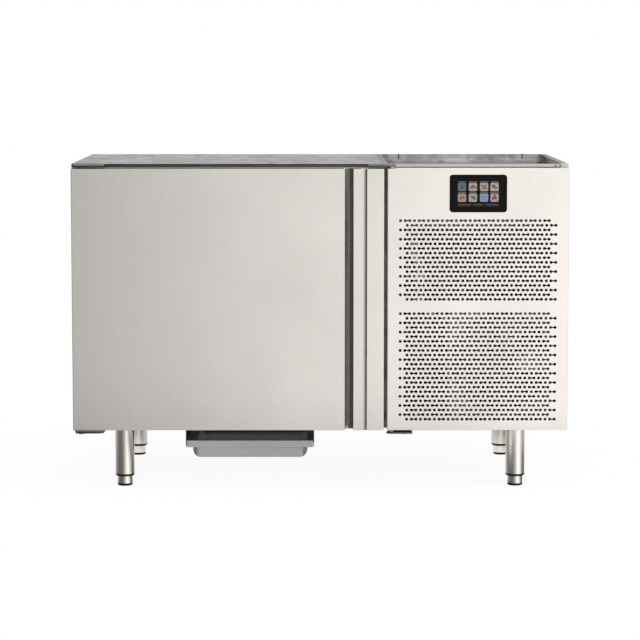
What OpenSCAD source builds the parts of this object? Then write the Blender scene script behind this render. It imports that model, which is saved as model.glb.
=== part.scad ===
// Undercounter blast chiller without a worktop: an insulated chamber with a
// hinged door on the left, and an open-topped refrigeration compartment behind
// a hinged, perforated service panel on the right.
// Frame: origin on the floor at the middle of the outline, +Z up, front to -Y.

/* [Cabinet] */
// Width of the cabinet
body_w = 1250; // [1230:1:1280]
// Depth from the face of the display to the back
total_d = 700; // [695:1:720]
// Height of the cabinet box
body_h = 670; // [660:1:690]
// Height of the underside above the floor
leg_h = 150; // [146:1:156]
// Thickness of the folded sheets
sheet = 1; // [0.8:0.1:1.2]
// Insulation on the left, the ceiling and the floor
wall_t = 55; // [50:1:58]
// Insulation at the back and in the dividing wall
thick_wall_t = 60; // [56:1:64]
// Height of the folded rim along the top of the front
rim_h = 8; // [7:0.5:9]

/* [Door] */
// Width of the door and the service panel together
front_w = 1243; // [1238:1:1246]
// Width of the door
door_w = 781.4; // [776:0.2:786]
// Height of the door and of the service panel
door_h = 657; // [650:1:657]
// Thickness of the door
door_t = 55; // [52:1:57]
// Gap between the back of the door and the cabinet's face
seal_gap = 7; // [6.5:0.1:8]
// Distance of the hinge pin from the door's left edge
door_pin_in = 19; // [17:0.5:21]
// Width of the flat strip between the grip and the door's right edge
grip_strip = 42.7; // [38:0.1:46]
// Width of the mouth of the grip
grip_mouth = 21.9; // [18:0.1:26]
// Width of the flat part of the pull lip
grip_lip = 24.2; // [20:0.1:28]
// Radius of the rounded edge of the pull lip
grip_round = 10.4; // [8:0.1:12]
// Depth of the grip profile
grip_d = 32; // [30:1:36]

/* [Service panel] */
// Distance of the hinge pin from the panel's left edge
panel_pin_in = 10.5; // [9:0.5:12]
// Distance between neighbouring holes
hole_pitch = 11.6; // [11:0.1:12]
// Diameter of the holes
hole_d = 7.4; // [6:0.1:8]
// Width of the slot that joins two holes
slot_w = 3; // [2:0.1:4]
// Groups of three holes in a row
groups = 11; // [9:1:11]
// Rows in the upper field
rows_upper = 18; // [10:1:18]
// Rows in the lower field
rows_lower = 24; // [12:1:24]
// Height of the upper field's first row, down from the panel's top edge
upper_top = 129.2; // [125:0.1:132]
// Height of the lower field's first row, down from the panel's top edge
lower_top = 362.4; // [355:0.1:366]
// Distance of the first hole from the panel's left edge
hole_left = 32.3; // [30:0.1:34]
// Distance of the bezel from the panel's left edge
bezel_left = 154.6; // [120:0.1:170]
// Distance of the bezel from the panel's top edge
bezel_top = 14.4; // [12:0.1:16]
// Width of the display's bezel
bezel_w = 143.1; // [140:0.1:150]
// Height of the display's bezel
bezel_h = 94; // [90:0.1:100]

/* [Legs and condensate tray] */
// Diameter of the leg tubes
leg_d = 48.3; // [45:0.1:51]
// Diameter of the adjustable feet
foot_d = 38.1; // [36:0.1:40]
// Sideways distance of the legs from the middle
leg_x = 497.5; // [480:0.5:510]
// Width of the condensate tray across its rim
tray_w = 325; // [315:1:330]
// Length of the condensate tray
tray_l = 500; // [440:1:500]
// Depth of the condensate tray
tray_h = 45; // [40:1:45]

/* [Hidden] */
$fn = 48;
eps = 1;  // how far a cutting body runs past the face it cuts

// Cabinet box
x_l = -body_w / 2;
x_r = body_w / 2;
head_h = 2;                               // height of a screw head
y_b = total_d / 2 - head_h;               // outside of the back sheets
z_b = leg_h;
z_t = leg_h + body_h;
bezel_proud = 1.5;
y_door = -total_d / 2 + bezel_proud;      // front face of the door and panel
y_f = y_door + door_t + seal_gap;         // front face of the cabinet
rim_z = z_t - rim_h;

// Door and service panel
door_x0 = -front_w / 2;
door_x1 = door_x0 + door_w;
front_gap = 8.4;
panel_x0 = door_x1 + front_gap;
panel_x1 = front_w / 2;
front_z0 = z_b + 3;
front_z1 = front_z0 + door_h;
y_door_b = y_door + door_t;

// Dividing wall and chamber
div_x = 160;                              // compartment side of the dividing wall
open_x0 = x_l + wall_t;
open_x1 = div_x - thick_wall_t;
open_z0 = z_b + wall_t;
open_z1 = z_t - wall_t;
breaker_t = 2;
breaker_d = 25;
ch_x0 = open_x0 + breaker_t;
ch_x1 = open_x1 - breaker_t;
ch_z0 = open_z0 + breaker_t;
ch_z1 = open_z1 - breaker_t;
ch_yf = y_f + breaker_d;
ch_yb = y_b - thick_wall_t;
ch_r = 12;                                // coved corners of the chamber

// Hinges
plate_t = 3;
door_pin_deep = 22;                       // distance of the pins behind the front face
panel_pin_deep = 12.6;
door_pin = [door_x0 + door_pin_in, y_door + door_pin_deep];
door_pin_r = 4;
panel_pin = [panel_x0 + panel_pin_in, y_door + panel_pin_deep];
panel_pin_r = 3;
run_gap = 0.05;                           // radial clearance of a running fit
bracket_z = z_t - sheet - plate_t;        // underside of the top brackets
bracket_tail = 40;                        // length of a bracket inside the cabinet
door_br_x = [door_x0 + 4.1, door_x0 + 81.9];
panel_br_x = [panel_pin[0] - 58.9, panel_pin[0] + 9.1];

// Fans
evap_fan_r = 98;
evap_fan_x = [-395, -75];
evap_fan_z = 485;
cover_y = 145;
cond_fan = [462, 310];
cond_fan_r = 124;
shroud_y0 = -205;
shroud_y1 = -150;

// Drain
drain = [-180, 165];
drain_r = 13;

// Condensate tray
tray_x = -180.7;
tray_y0 = -178.5;
tray_top = 101;
tray_wall = 2;
tray_body_w = tray_w - 28;
tray_skirt = 17.5;
rail_gap = 1.3;
rail_t = 2;
rail_bottom = 85;

// Legs
leg_y = [-263.5, 244.5];
ring_z = [24.7, 31];                      // bottom and top of the visible ring
pad_h = 6.2;
foot_top = 80;
insert_top = 62;

// Colours
steel_c = [0.80, 0.79, 0.77];
galv_c = [0.62, 0.64, 0.66];
dark_c = [0.14, 0.14, 0.14];
copper_c = [0.72, 0.42, 0.26];

// ---------------------------------------------------------------- helpers

// Box between two corners
module block(a, b) translate(a) cube(b - a);

// Rectangle with round corners, from its lower left corner
module round_rect(w, h, r) {
  translate([r, 0]) square([w - 2 * r, h]);
  translate([0, r]) square([w, h - 2 * r]);
  for (x = [r, w - r], y = [r, h - r]) translate([x, y]) circle(r);
}

// Profile in the X-Z plane, swept from y0 to y1
module sweep_y(y0, y1) translate([0, y1, 0]) rotate([90, 0, 0]) linear_extrude(y1 - y0) children();

// Profile in the X-Y plane, swept from z0 to z1
module sweep_z(z0, z1) translate([0, 0, z0]) linear_extrude(z1 - z0) children();

// Round bar along Y
module bar_y(x, z, y0, y1, r) translate([x, y1, z]) rotate([90, 0, 0]) cylinder(r = r, h = y1 - y0);

// Round bar along X
module bar_x(y, z, x0, x1, r) translate([x0, y, z]) rotate([0, 90, 0]) cylinder(r = r, h = x1 - x0);

// Round bar along Z
module bar_z(x, y, z0, z1, r) translate([x, y, z0]) cylinder(r = r, h = z1 - z0);

// Solid of revolution about Z whose corners are rounded
module round_drum(r, h, edge) rotate_extrude() intersection() {
  square([r, h]);
  union() {
    square([r - edge, h]);
    translate([0, edge]) square([r, h - 2 * edge]);
    for (z = [edge, h - edge]) translate([r - edge, z]) circle(edge);
  }
}

// A shape and its mirror image about the plane at x
module both_sides(x) translate([x, 0, 0]) {
  children();
  mirror([1, 0, 0]) children();
}

function unit(v) = v / norm(v);

// Bent tube along points whose neighbouring runs are square to each other
module bent_tube(pts, r, bend) {
  last = len(pts) - 1;
  for (i = [0:last - 1]) {
    u = unit(pts[i + 1] - pts[i]);
    a = pts[i] + u * (i == 0 ? 0 : bend);
    b = pts[i + 1] - u * (i == last - 1 ? 0 : bend);
    translate(a)
      rotate(abs(u[0]) > 0 ? [0, 90 * u[0], 0] : abs(u[1]) > 0 ? [-90 * u[1], 0, 0] : [u[2] > 0 ? 0 : 180, 0, 0])
        cylinder(r = r, h = norm(b - a));
  }
  for (i = [1:last - 1]) {
    u = unit(pts[i] - pts[i - 1]);
    v = unit(pts[i + 1] - pts[i]);
    n = cross(u, v);
    c = pts[i] - bend * u + bend * v;
    multmatrix([[-v[0], u[0], n[0], c[0]],
                [-v[1], u[1], n[1], c[1]],
                [-v[2], u[2], n[2], c[2]],
                [0, 0, 0, 1]])
      rotate_extrude(angle = 90) translate([bend, 0]) circle(r, $fn = 24);
  }
}

// Axial fan wheel about Y: hub with a blind bore, and flat blades set at a pitch
module fan_wheel(tip_r, hub_r, depth, blades, bore_r) {
  root_w = hub_r * 1.3;
  tip_w = tip_r * 0.72;
  blade_t = 1.6;
  blade_pitch = 28;
  root_in = 4;
  reach = tip_r * 1.1;                    // the blades are trimmed back to the tip circle
  hub_edge = 3;
  hub_end = 4;
  rotate([90, 0, 0]) difference() {
    union() {
      round_drum(hub_r, depth, hub_edge);
      intersection() {
        union() for (i = [0:blades - 1]) rotate(i * 360 / blades)
          translate([0, 0, depth / 2]) rotate([blade_pitch, 0, 0])
            translate([0, 0, -blade_t / 2]) linear_extrude(blade_t)
              polygon([[hub_r - root_in, -root_w / 2], [reach, -tip_w / 2],
                       [reach, tip_w / 2], [hub_r - root_in, root_w / 2]]);
        cylinder(r = tip_r, h = depth);
      }
    }
    translate([0, 0, -eps]) cylinder(r = bore_r, h = depth - hub_end + eps);
  }
}

// Rows of holes in the X-Z plane: in each group one hole, then two joined by a slot
module hole_rows(rows, z_top) {
  first_x = panel_x0 + hole_left;
  shift = 17;                             // offset of every second row
  for (row = [0:rows - 1], g = [0:groups - 1])
    translate([first_x + (row % 2) * shift + g * 3 * hole_pitch, z_top - row * hole_pitch]) {
      for (k = [0:2]) translate([k * hole_pitch, 0]) circle(d = hole_d, $fn = 24);
      translate([hole_pitch, -slot_w / 2]) square([hole_pitch, slot_w]);
    }
}

// ------------------------------------------------------- insulated cabinet

module outer_casing() color(steel_c) {
  block([x_l, y_f + sheet, z_b], [x_l + sheet, y_b, z_t - sheet]);
  block([x_l + sheet, y_b - sheet, z_b], [div_x, y_b, z_t - sheet]);
  difference() {
    block([x_l + sheet, y_f + sheet, z_b], [div_x, y_b - sheet, z_b + sheet]);
    bar_z(drain[0], drain[1], z_b - eps, z_b + sheet + eps, drain_r + 2);
  }
}

module liner_outline(grow) translate([ch_x0 - grow, ch_z0 - grow])
  round_rect(ch_x1 - ch_x0 + 2 * grow, ch_z1 - ch_z0 + 2 * grow, ch_r + grow);

// Passage of the refrigerant lines through the dividing wall
pass_y = 240;
pass_z = 700;
pass_r = 20;

module insulation_foam() color([0.93, 0.88, 0.66]) difference() {
  block([x_l + sheet, y_f + sheet, z_b + sheet], [div_x - sheet, y_b - sheet, z_t - sheet]);
  block([open_x0, y_f - eps, open_z0], [open_x1, ch_yf, open_z1]);
  sweep_y(ch_yf - eps, ch_yb + sheet) liner_outline(sheet);
  bar_z(drain[0], drain[1], z_b - eps, ch_z0 + eps, drain_r + 2);
  bar_x(pass_y, pass_z, ch_x1 - eps, div_x + eps, pass_r);
  block([door_br_x[0], y_f - eps, bracket_z], [door_br_x[1], y_f + bracket_tail, z_t]);
  block([panel_br_x[0], y_f - eps, bracket_z], [div_x + eps, y_f + bracket_tail, z_t]);
}

module inner_liner() color(steel_c) difference() {
  sweep_y(ch_yf, ch_yb + sheet) liner_outline(sheet);
  sweep_y(ch_yf - eps, ch_yb) liner_outline(0);
  bar_z(drain[0], drain[1], z_b, ch_z0 + eps, drain_r + run_gap);
  bar_x(pass_y, pass_z, ch_x1 - eps, div_x, pass_r);
}

module front_frame() color(steel_c) difference() {
  block([x_l, y_f, z_b], [div_x, y_f + sheet, z_t - sheet]);
  block([open_x0, y_f - eps, open_z0], [open_x1, y_f + sheet + eps, open_z1]);
  for (x = [door_br_x, [panel_br_x[0], div_x + eps]])
    block([x[0], y_f - eps, bracket_z], [x[1], y_f + sheet + eps, z_t]);
}

// Plastic ring that lines the mouth of the chamber and covers the frame's edge
module breaker_frame() color([0.78, 0.79, 0.80]) {
  lip = 4;
  lip_t = 1;
  difference() {
    union() {
      block([open_x0, y_f, open_z0], [open_x1, ch_yf, open_z1]);
      block([open_x0 - lip, y_f - lip_t, open_z0 - lip], [open_x1 + lip, y_f, open_z1 + lip]);
    }
    block([ch_x0, y_f - 2 * eps, ch_z0], [ch_x1, ch_yf + eps, ch_z1]);
  }
}

top_x1 = div_x - 5;                       // right edge of the galvanised top
flange_x1 = div_x + 11;                   // right edge of the dividing wall's flange

module top_sheet() color(galv_c) {
  block([x_l, y_f, z_t - sheet], [top_x1, y_b, z_t]);
  difference() {
    block([x_l, y_f - sheet, rim_z], [top_x1, y_f, z_t]);
    for (x = [door_br_x, [panel_br_x[0], div_x]])
      block([x[0], y_f - 2 * eps, bracket_z], [x[1], y_f + eps, z_t - sheet]);
  }
}

jamb_w = 12;

module divider_wall() color(galv_c) difference() {
  union() {
    block([div_x - sheet, y_f + sheet, z_b + sheet], [div_x, y_b - sheet, z_t - sheet]);
    block([top_x1, y_f, z_t - sheet], [flange_x1, y_b, z_t]);
    block([div_x, y_f, z_b + 2 * sheet], [div_x + jamb_w, y_f + sheet, rim_z]);
  }
  bar_x(pass_y, pass_z, div_x - 2 * eps, div_x + eps, pass_r);
  block([panel_br_x[0], y_f - eps, bracket_z], [div_x + eps, y_f + bracket_tail, z_t - sheet]);
}

// ------------------------------------------------ refrigeration compartment

wall_flange = 16;
side_jamb = 20;

module right_side_wall() color(steel_c) {
  block([x_r - sheet, y_f, z_b], [x_r, y_b, z_t]);
  block([x_r - wall_flange, y_f, z_t - sheet], [x_r - sheet, y_b - sheet, z_t]);
  block([x_r - side_jamb, y_f, z_b + 2 * sheet], [x_r - sheet, y_f + sheet, rim_z]);
}

pan_t = 1.5;

module base_pan() color(galv_c) difference() {
  turn_up = 25;
  slots = 7;
  slot_pitch = 26;
  slot_l = 90;
  slot_h = 8;
  union() {
    block([div_x, y_f + sheet, z_b], [x_r - sheet, y_b - sheet, z_b + pan_t]);
    for (x = [div_x, x_r - sheet - pan_t])
      block([x, y_f + 2 * sheet, z_b], [x + pan_t, y_b - sheet, z_b + turn_up]);
    block([div_x, y_b - sheet - pan_t, z_b], [x_r - sheet, y_b - sheet, z_b + turn_up]);
  }
  for (i = [0:slots - 1])
    translate([cond_fan[0] - slot_l / 2, shroud_y1 + 80 + i * slot_pitch, z_b - eps])
      cube([slot_l, slot_h, pan_t + 2 * eps]);
  bar_z(gland[0], gland[1], z_b - eps, z_b + pan_t + eps, gland_r);
}

notch_x = [219, 559.9];

// Back of the compartment: hooded louvres, key notches in its top edge and a stiffening fold
module back_panel() color(galv_c) {
  louvre_w = 110;
  louvre_h = 6;
  louvre_pitch = 22;
  louvre_rows = 18;
  first_louvre = z_b + 90;
  hood_d = 7;                             // how far a louvre's hood stands inwards
  hood_drop = 3;                          // how far it hangs below its slot
  columns = 3;
  fold_z = z_t - 17;
  fold_d = 14;
  fold_h = 6;
  notch_w = [8.4, 3];
  notch_d = [4, 10];
  margin = (x_r - div_x - columns * louvre_w) / (columns + 1);
  difference() {
    union() {
      block([div_x, y_b - sheet, z_b], [x_r - sheet, y_b, z_t - sheet]);
      block([flange_x1, y_b - sheet, z_t - 2 * sheet], [x_r - wall_flange, y_b, z_t]);
    }
    for (c = [0:columns - 1], i = [0:louvre_rows - 1])
      translate([div_x + margin + c * (louvre_w + margin), y_b - 2 * sheet, first_louvre + i * louvre_pitch])
        cube([louvre_w, 3 * sheet, louvre_h]);
    for (x = notch_x, k = [0, 1])
      block([x - notch_w[k] / 2, y_b - 2 * sheet, z_t - notch_d[k]], [x + notch_w[k] / 2, y_b + eps, z_t]);
  }
  for (c = [0:columns - 1], i = [0:louvre_rows - 1])
    translate([div_x + margin + c * (louvre_w + margin), y_b - sheet - hood_d, first_louvre + i * louvre_pitch]) {
      translate([0, 0, -hood_drop]) cube([louvre_w, sheet, louvre_h + hood_drop + sheet]);
      translate([0, 0, louvre_h]) cube([louvre_w, hood_d, sheet]);
    }
  block([flange_x1, y_b - sheet - fold_d, fold_z], [x_r - wall_flange, y_b - sheet, fold_z + sheet]);
  block([flange_x1, y_b - sheet - fold_d, fold_z - fold_h], [x_r - wall_flange, y_b - fold_d, fold_z]);
}

module front_rim() color(steel_c) difference() {
  rim_d = 30;
  union() {
    block([top_x1, y_f - sheet, rim_z], [x_r, y_f, z_t]);
    block([div_x + jamb_w, y_f, rim_z], [x_r - side_jamb, y_f + rim_d, rim_z + sheet]);
  }
  block([panel_br_x[0], y_f - 2 * eps, bracket_z], [panel_br_x[1], y_f + eps, z_t - sheet]);
}

// Screw heads: two in the front rim, a row down each side of the back, four in each leg's plate
module casing_screws() color(steel_c) {
  small_r = 3.2;
  large_r = 5;
  rim_in = [33, 21];
  edge_in = 14;
  end_in = 40;
  bolt_x = 36;
  bolt_y = [10, 38];
  back_z = [z_b + end_in, z_b + body_h / 2, z_t - end_in];
  back_x = [x_l + edge_in, div_x - edge_in, div_x + edge_in, x_r - edge_in];
  for (inset = rim_in) bar_y(x_r - inset, z_t - rim_h / 2, y_f - sheet - head_h, y_f - sheet, small_r);
  for (x = back_x, z = back_z) bar_y(x, z, y_b, y_b + head_h, small_r);
  for (x = [-leg_x, leg_x], y = leg_y, dx = [-bolt_x, bolt_x], dy = bolt_y)
    bar_z(x + dx, y + dy, z_b - plate_t - head_h, z_b - plate_t, large_r);
}

comp = [300, 190];
comp_r = 88;
comp_h = 235;
mount_dx = 78;
mount_dy = 82;
mount_h = 22;
comp_foot = 4;                            // thickness of its foot plate
comp_z = z_b + pan_t + mount_h;           // underside of the compressor's foot plate
gas_dx = -40;                             // hot gas stub, from the compressor's middle
gas_up = 0.62 * comp_h;
gas_stub_l = 34;
gas_stub_in = 18;

module compressor() color(dark_c) {
  foot_out = 16;
  shell_edge = 38;
  skirt_in = 14;
  skirt_h = 40;
  terminal = [52, 64, 80];
  terminal_in = 20;
  terminal_z = 90;
  gas_stub_r = 9;
  hole_r = 5;
  difference() {
    translate([comp[0], comp[1], comp_z]) {
      translate([0, 0, comp_foot]) round_drum(comp_r, comp_h, shell_edge);
      block([-mount_dx - foot_out, -mount_dy - foot_out, 0], [mount_dx + foot_out, mount_dy + foot_out, comp_foot]);
      translate([0, 0, comp_foot]) cylinder(r = comp_r - skirt_in, h = skirt_h);
      translate([comp_r - terminal_in, -terminal[1] / 2, terminal_z]) cube(terminal);
      bar_y(gas_dx, gas_up, gas_stub_in - comp_r - gas_stub_l, gas_stub_in - comp_r, gas_stub_r);
    }
    for (dx = [-mount_dx, mount_dx], dy = [-mount_dy, mount_dy])
      bar_z(comp[0] + dx, comp[1] + dy, comp_z - eps, comp_z + comp_foot + eps, hole_r);
  }
}

module compressor_mounts() color([0.08, 0.08, 0.08]) {
  boot_r = 14;
  boot_edge = 3;
  stud_r = 4.6;
  stud_up = 8;
  for (dx = [-mount_dx, mount_dx], dy = [-mount_dy, mount_dy])
    translate([comp[0] + dx, comp[1] + dy, z_b + pan_t]) {
      round_drum(boot_r, mount_h, boot_edge);
      cylinder(r = stud_r, h = mount_h + stud_up);
    }
}

coil_x = [330, 600];
coil_z = [168, 458];
coil_d = 62;

// Finned block between end plates, with return bends on one side
module finned_coil(x0, x1, y0, y1, z0, z1, rows, tube_r) {
  end_t = 1.5;
  fin_gap = 12;
  bend_r = (z1 - z0) / rows / 4;
  block([x0 + fin_gap, y0, z0], [x1 - fin_gap, y1, z1]);
  for (x = [x0, x1 - end_t]) block([x, y0, z0], [x + end_t, y1, z1]);
  for (i = [0:rows - 1]) {
    zc = z0 + (z1 - z0) * (i + 0.5) / rows;
    for (s = [-1, 1])
      bar_x((y0 + y1) / 2, zc + s * bend_r, x0, x1, tube_r);
    translate([x0, (y0 + y1) / 2, zc]) rotate([0, -90, 0]) rotate([90, 0, 0])
      rotate_extrude(angle = 180) translate([bend_r, 0]) circle(tube_r, $fn = 24);
  }
}

module condenser_coil() color([0.70, 0.71, 0.72]) {
  rows = 7;
  tube_r = 4.8;
  finned_coil(coil_x[0], coil_x[1], shroud_y1, shroud_y1 + coil_d, coil_z[0], coil_z[1], rows, tube_r);
}

module condenser_shroud() color([0.52, 0.54, 0.56]) {
  skin = 1.5;
  ring_d = 22;
  ring_proud = 6;
  ring_clear = 4;
  ring_wall = 2;
  foot_w = 30;
  foot_d = 40;
  difference() {
    union() {
      difference() {
        block([coil_x[0], shroud_y0, coil_z[0]], [coil_x[1], shroud_y1, coil_z[1]]);
        block([coil_x[0] + skin, shroud_y0 + skin, coil_z[0] + skin],
              [coil_x[1] - skin, shroud_y1 + eps, coil_z[1] - skin]);
      }
      bar_y(cond_fan[0], cond_fan[1], shroud_y0 - ring_proud, shroud_y0 + ring_d,
            cond_fan_r + ring_clear + ring_wall);
    }
    bar_y(cond_fan[0], cond_fan[1], shroud_y0 - ring_proud - eps, shroud_y0 + ring_d + eps,
          cond_fan_r + ring_clear);
  }
  for (x = [coil_x[0], coil_x[1] - foot_w])
    block([x, shroud_y0, z_b + pan_t], [x + foot_w, shroud_y0 + foot_d, coil_z[0]]);
}

fan_shaft_r = 4;
motor_y = [-262, -222];

module condenser_fan_motor() color([0.10, 0.10, 0.11]) {
  motor_r = 38;
  motor_edge = 5;
  shaft_in = 18;
  arm_root = 30;
  arm_r = cond_fan_r + 12;
  arm_t = 3;
  arm_half = 5;
  arm_y = motor_y[1] - 2 * arm_t;
  translate([cond_fan[0], motor_y[1], cond_fan[1]]) rotate([90, 0, 0])
    round_drum(motor_r, motor_y[1] - motor_y[0], motor_edge);
  bar_y(cond_fan[0], cond_fan[1], motor_y[1] - eps, shroud_y0 + shaft_in, fan_shaft_r);
  for (i = [0:3]) translate([cond_fan[0], 0, cond_fan[1]]) rotate([0, 45 + 90 * i, 0]) {
    block([arm_root, arm_y, -arm_half], [arm_r, arm_y + arm_t, arm_half]);
    block([arm_r - arm_t, arm_y, -arm_half], [arm_r, shroud_y0, arm_half]);
  }
}

module condenser_fan_blade() color([0.55, 0.57, 0.60]) {
  hub_r = 30;
  depth = 30;
  blades = 5;
  translate([cond_fan[0], shroud_y0 + 2, cond_fan[1]]) mirror([0, 1, 0])
    fan_wheel(cond_fan_r, hub_r, depth, blades, fan_shaft_r + run_gap);
}

receiver = [545, 20];
receiver_z = z_b + pan_t + 14;
receiver_h = 210;

module liquid_receiver() color(dark_c) {
  shell_r = 42;
  shell_edge = 28;
  stand_r = 33;
  stand_in = 12;
  translate([receiver[0], receiver[1], receiver_z]) round_drum(shell_r, receiver_h, shell_edge);
  bar_z(receiver[0], receiver[1], z_b + pan_t, receiver_z + stand_in, stand_r);
}

drier = [430, 20];
drier_z = 430;
drier_h = 110;
stub_l = 9;

module filter_drier() color([0.20, 0.32, 0.46]) {
  shell_r = 19;
  shell_edge = 12;
  stub_r = 7;
  translate([drier[0], drier[1], drier_z]) {
    round_drum(shell_r, drier_h, shell_edge);
    translate([0, 0, -stub_l]) cylinder(r = stub_r, h = drier_h + 2 * stub_l);
  }
}

pipe_r = 4.8;
suction_r = 8;
riser_x = 176;                            // where the lines rise beside the dividing wall
evap_x1 = ch_x1 - 30;
joint_gap = 0.2;                          // gap at the end of a line

module refrigerant_pipes() color(copper_c) {
  gas_x = comp[0] + gas_dx;
  gas_y = comp[1] + gas_stub_in - comp_r - gas_stub_l;
  gas_z = comp_z + gas_up;
  gas_in_x = coil_x[0] + 40;
  gas_in_y = shroud_y1 + coil_d / 2;
  over_z = 500;
  liquid_y = pass_y + 12;
  liquid_z = pass_z - 6;
  liquid_low = 580;
  suction_y = pass_y - 5;
  suction_z = pass_z + 4;
  suction_low = 520;
  receiver_top = receiver_z + receiver_h + joint_gap;
  comp_top = comp_z + comp_h + comp_foot + joint_gap;
  rise = 20;
  pipe_bend = 16;
  suction_bend = 20;
  // hot gas: compressor to the top of the condenser
  bent_tube([[gas_x, gas_y - joint_gap, gas_z], [gas_x, receiver[1], gas_z],
             [gas_x, receiver[1], over_z], [gas_in_x, receiver[1], over_z],
             [gas_in_x, gas_in_y, over_z], [gas_in_x, gas_in_y, coil_z[1] + joint_gap]], pipe_r, pipe_bend);
  // liquid line: receiver to the drier
  bent_tube([[receiver[0], receiver[1], receiver_top], [receiver[0], receiver[1], receiver_top + rise],
             [drier[0], drier[1], receiver_top + rise], [drier[0], drier[1], drier_z - stub_l - joint_gap]],
            pipe_r, pipe_bend);
  // liquid line: drier through the dividing wall to the evaporator
  bent_tube([[drier[0], drier[1], drier_z + drier_h + stub_l + joint_gap], [drier[0], drier[1], liquid_low],
             [drier[0], liquid_y, liquid_low], [riser_x, liquid_y, liquid_low],
             [riser_x, liquid_y, liquid_z], [evap_x1 + joint_gap, liquid_y, liquid_z]], pipe_r, pipe_bend);
  // suction line: evaporator back to the compressor
  bent_tube([[evap_x1 + joint_gap, suction_y, suction_z], [riser_x, suction_y, suction_z],
             [riser_x, suction_y, suction_low], [comp[0], suction_y, suction_low],
             [comp[0], suction_y, comp_top]], suction_r, suction_bend);
}

box_z = [640, 797];

module electrical_box() color([0.32, 0.33, 0.35]) {
  lo = [190, 62, box_z[0]];
  hi = [596, 330, box_z[1]];
  wall = 1.5;
  lid_lip = 3;
  lid_h = 14;
  entry_in = [60, 40];
  entry_r = 11;
  difference() {
    union() {
      block(lo, hi);
      block([lo[0] - lid_lip, lo[1] - lid_lip, hi[2] - lid_h], [hi[0] + lid_lip, hi[1] + lid_lip, hi[2]]);
    }
    block(lo + [wall, wall, wall], hi - [wall, wall, wall]);
    for (x = [lo[0] + entry_in[0], hi[0] - entry_in[0]])
      bar_z(x, lo[1] + entry_in[1], lo[2] - eps, lo[2] + wall + eps, entry_r);
  }
}

gland = [574, 300];
gland_r = 12;
gland_bore_r = 5.5;

// Threaded body with a collar below the pan, a cap nut under it and a lock nut above
module cable_gland() color([0.12, 0.12, 0.13]) difference() {
  body_low = z_b - 10;
  top = z_b + 16;
  collar_t = 6;
  cap_z = z_b - 22;
  cap_h = 17;
  nut_r = [15, 17];
  union() {
    bar_z(gland[0], gland[1], body_low, top, gland_r - 0.1);
    bar_z(gland[0], gland[1], z_b - collar_t, z_b, nut_r[1]);
    translate([gland[0], gland[1], cap_z]) cylinder(r = nut_r[0], h = cap_h, $fn = 6);
    translate([gland[0], gland[1], z_b + pan_t]) cylinder(r = nut_r[1], h = collar_t, $fn = 6);
  }
  bar_z(gland[0], gland[1], cap_z - eps, top + eps, gland_bore_r);
}

// ----------------------------------------------------------- chamber fittings

cover_t = 1.2;
cover_z = [ch_z0 + 34, ch_z1 - 30];

// Sheet with two round mouths that closes off the fans and the coil
module fan_cover() color(steel_c) {
  flange = 18;
  side_gap = 2;
  mouth_r = evap_fan_r + 6;
  x0 = ch_x0 + side_gap;
  x1 = ch_x1 - side_gap;
  difference() {
    block([x0, cover_y, cover_z[0]], [x1, cover_y + cover_t, cover_z[1]]);
    for (x = evap_fan_x) bar_y(x, evap_fan_z, cover_y - eps, cover_y + cover_t + eps, mouth_r);
  }
  for (x = [x0, x1 - cover_t]) block([x, cover_y, cover_z[0]], [x + cover_t, cover_y + flange, cover_z[1]]);
  for (z = [cover_z[0], cover_z[1] - cover_t]) block([x0, cover_y, z], [x1, cover_y + flange, z + cover_t]);
}

module fan_guards() color([0.75, 0.76, 0.78]) {
  wire_r = 1.5;
  rings = 6;
  ring_step = (evap_fan_r + 10) / rings;
  for (x = evap_fan_x) translate([x, cover_y - wire_r - 0.1, evap_fan_z]) rotate([90, 0, 0]) {
    for (i = [1:rings]) rotate_extrude() translate([i * ring_step, 0]) circle(wire_r, $fn = 16);
    for (a = [0, 90]) rotate([0, 90, a]) translate([0, 0, -rings * ring_step])
      cylinder(r = wire_r, h = 2 * rings * ring_step, $fn = 16);
  }
}

coil_y = [218, 284];

module evaporator_coil() color([0.78, 0.80, 0.82]) {
  x0 = ch_x0 + 34;
  z0 = ch_z0 + 44;
  z1 = ch_z1 - 32;
  rows = 10;
  tube_r = 6;
  finned_coil(x0, evap_x1, coil_y[0], coil_y[1], z0, z1, rows, tube_r);
}

evap_motor_y = [184, 212];

module evaporator_fan_motors() color([0.14, 0.14, 0.15]) {
  motor_r = 42;
  motor_edge = 5;
  shaft_y = cover_y + 14;
  arm_root = 36;
  arm_r = evap_fan_r + 18;
  arm_t = 3;
  arm_half = 6;
  arm_y = evap_motor_y[0] + 2 * arm_t;
  for (x = evap_fan_x) {
    translate([x, evap_motor_y[1], evap_fan_z]) rotate([90, 0, 0])
      round_drum(motor_r, evap_motor_y[1] - evap_motor_y[0], motor_edge);
    bar_y(x, evap_fan_z, shaft_y, evap_motor_y[0] + eps, fan_shaft_r);
    for (i = [0:3]) translate([x, 0, evap_fan_z]) rotate([0, 45 + 90 * i, 0]) {
      block([arm_root, arm_y, -arm_half], [arm_r, arm_y + arm_t, arm_half]);
      block([arm_r - arm_t, cover_y + cover_t, -arm_half], [arm_r, arm_y + arm_t, arm_half]);
    }
  }
}

module evaporator_fan_blade(i) color([0.20, 0.22, 0.24]) {
  hub_r = 32;
  depth = 27;
  blades = 5;
  hub_gap = 3;
  translate([evap_fan_x[i], evap_motor_y[0] - hub_gap, evap_fan_z])
    fan_wheel(evap_fan_r, hub_r, depth, blades, fan_shaft_r + run_gap);
}
module evaporator_fan_blade_left() evaporator_fan_blade(0);
module evaporator_fan_blade_right() evaporator_fan_blade(1);

drip_z0 = ch_z0 + 2;                      // underside of the drip tray

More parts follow.
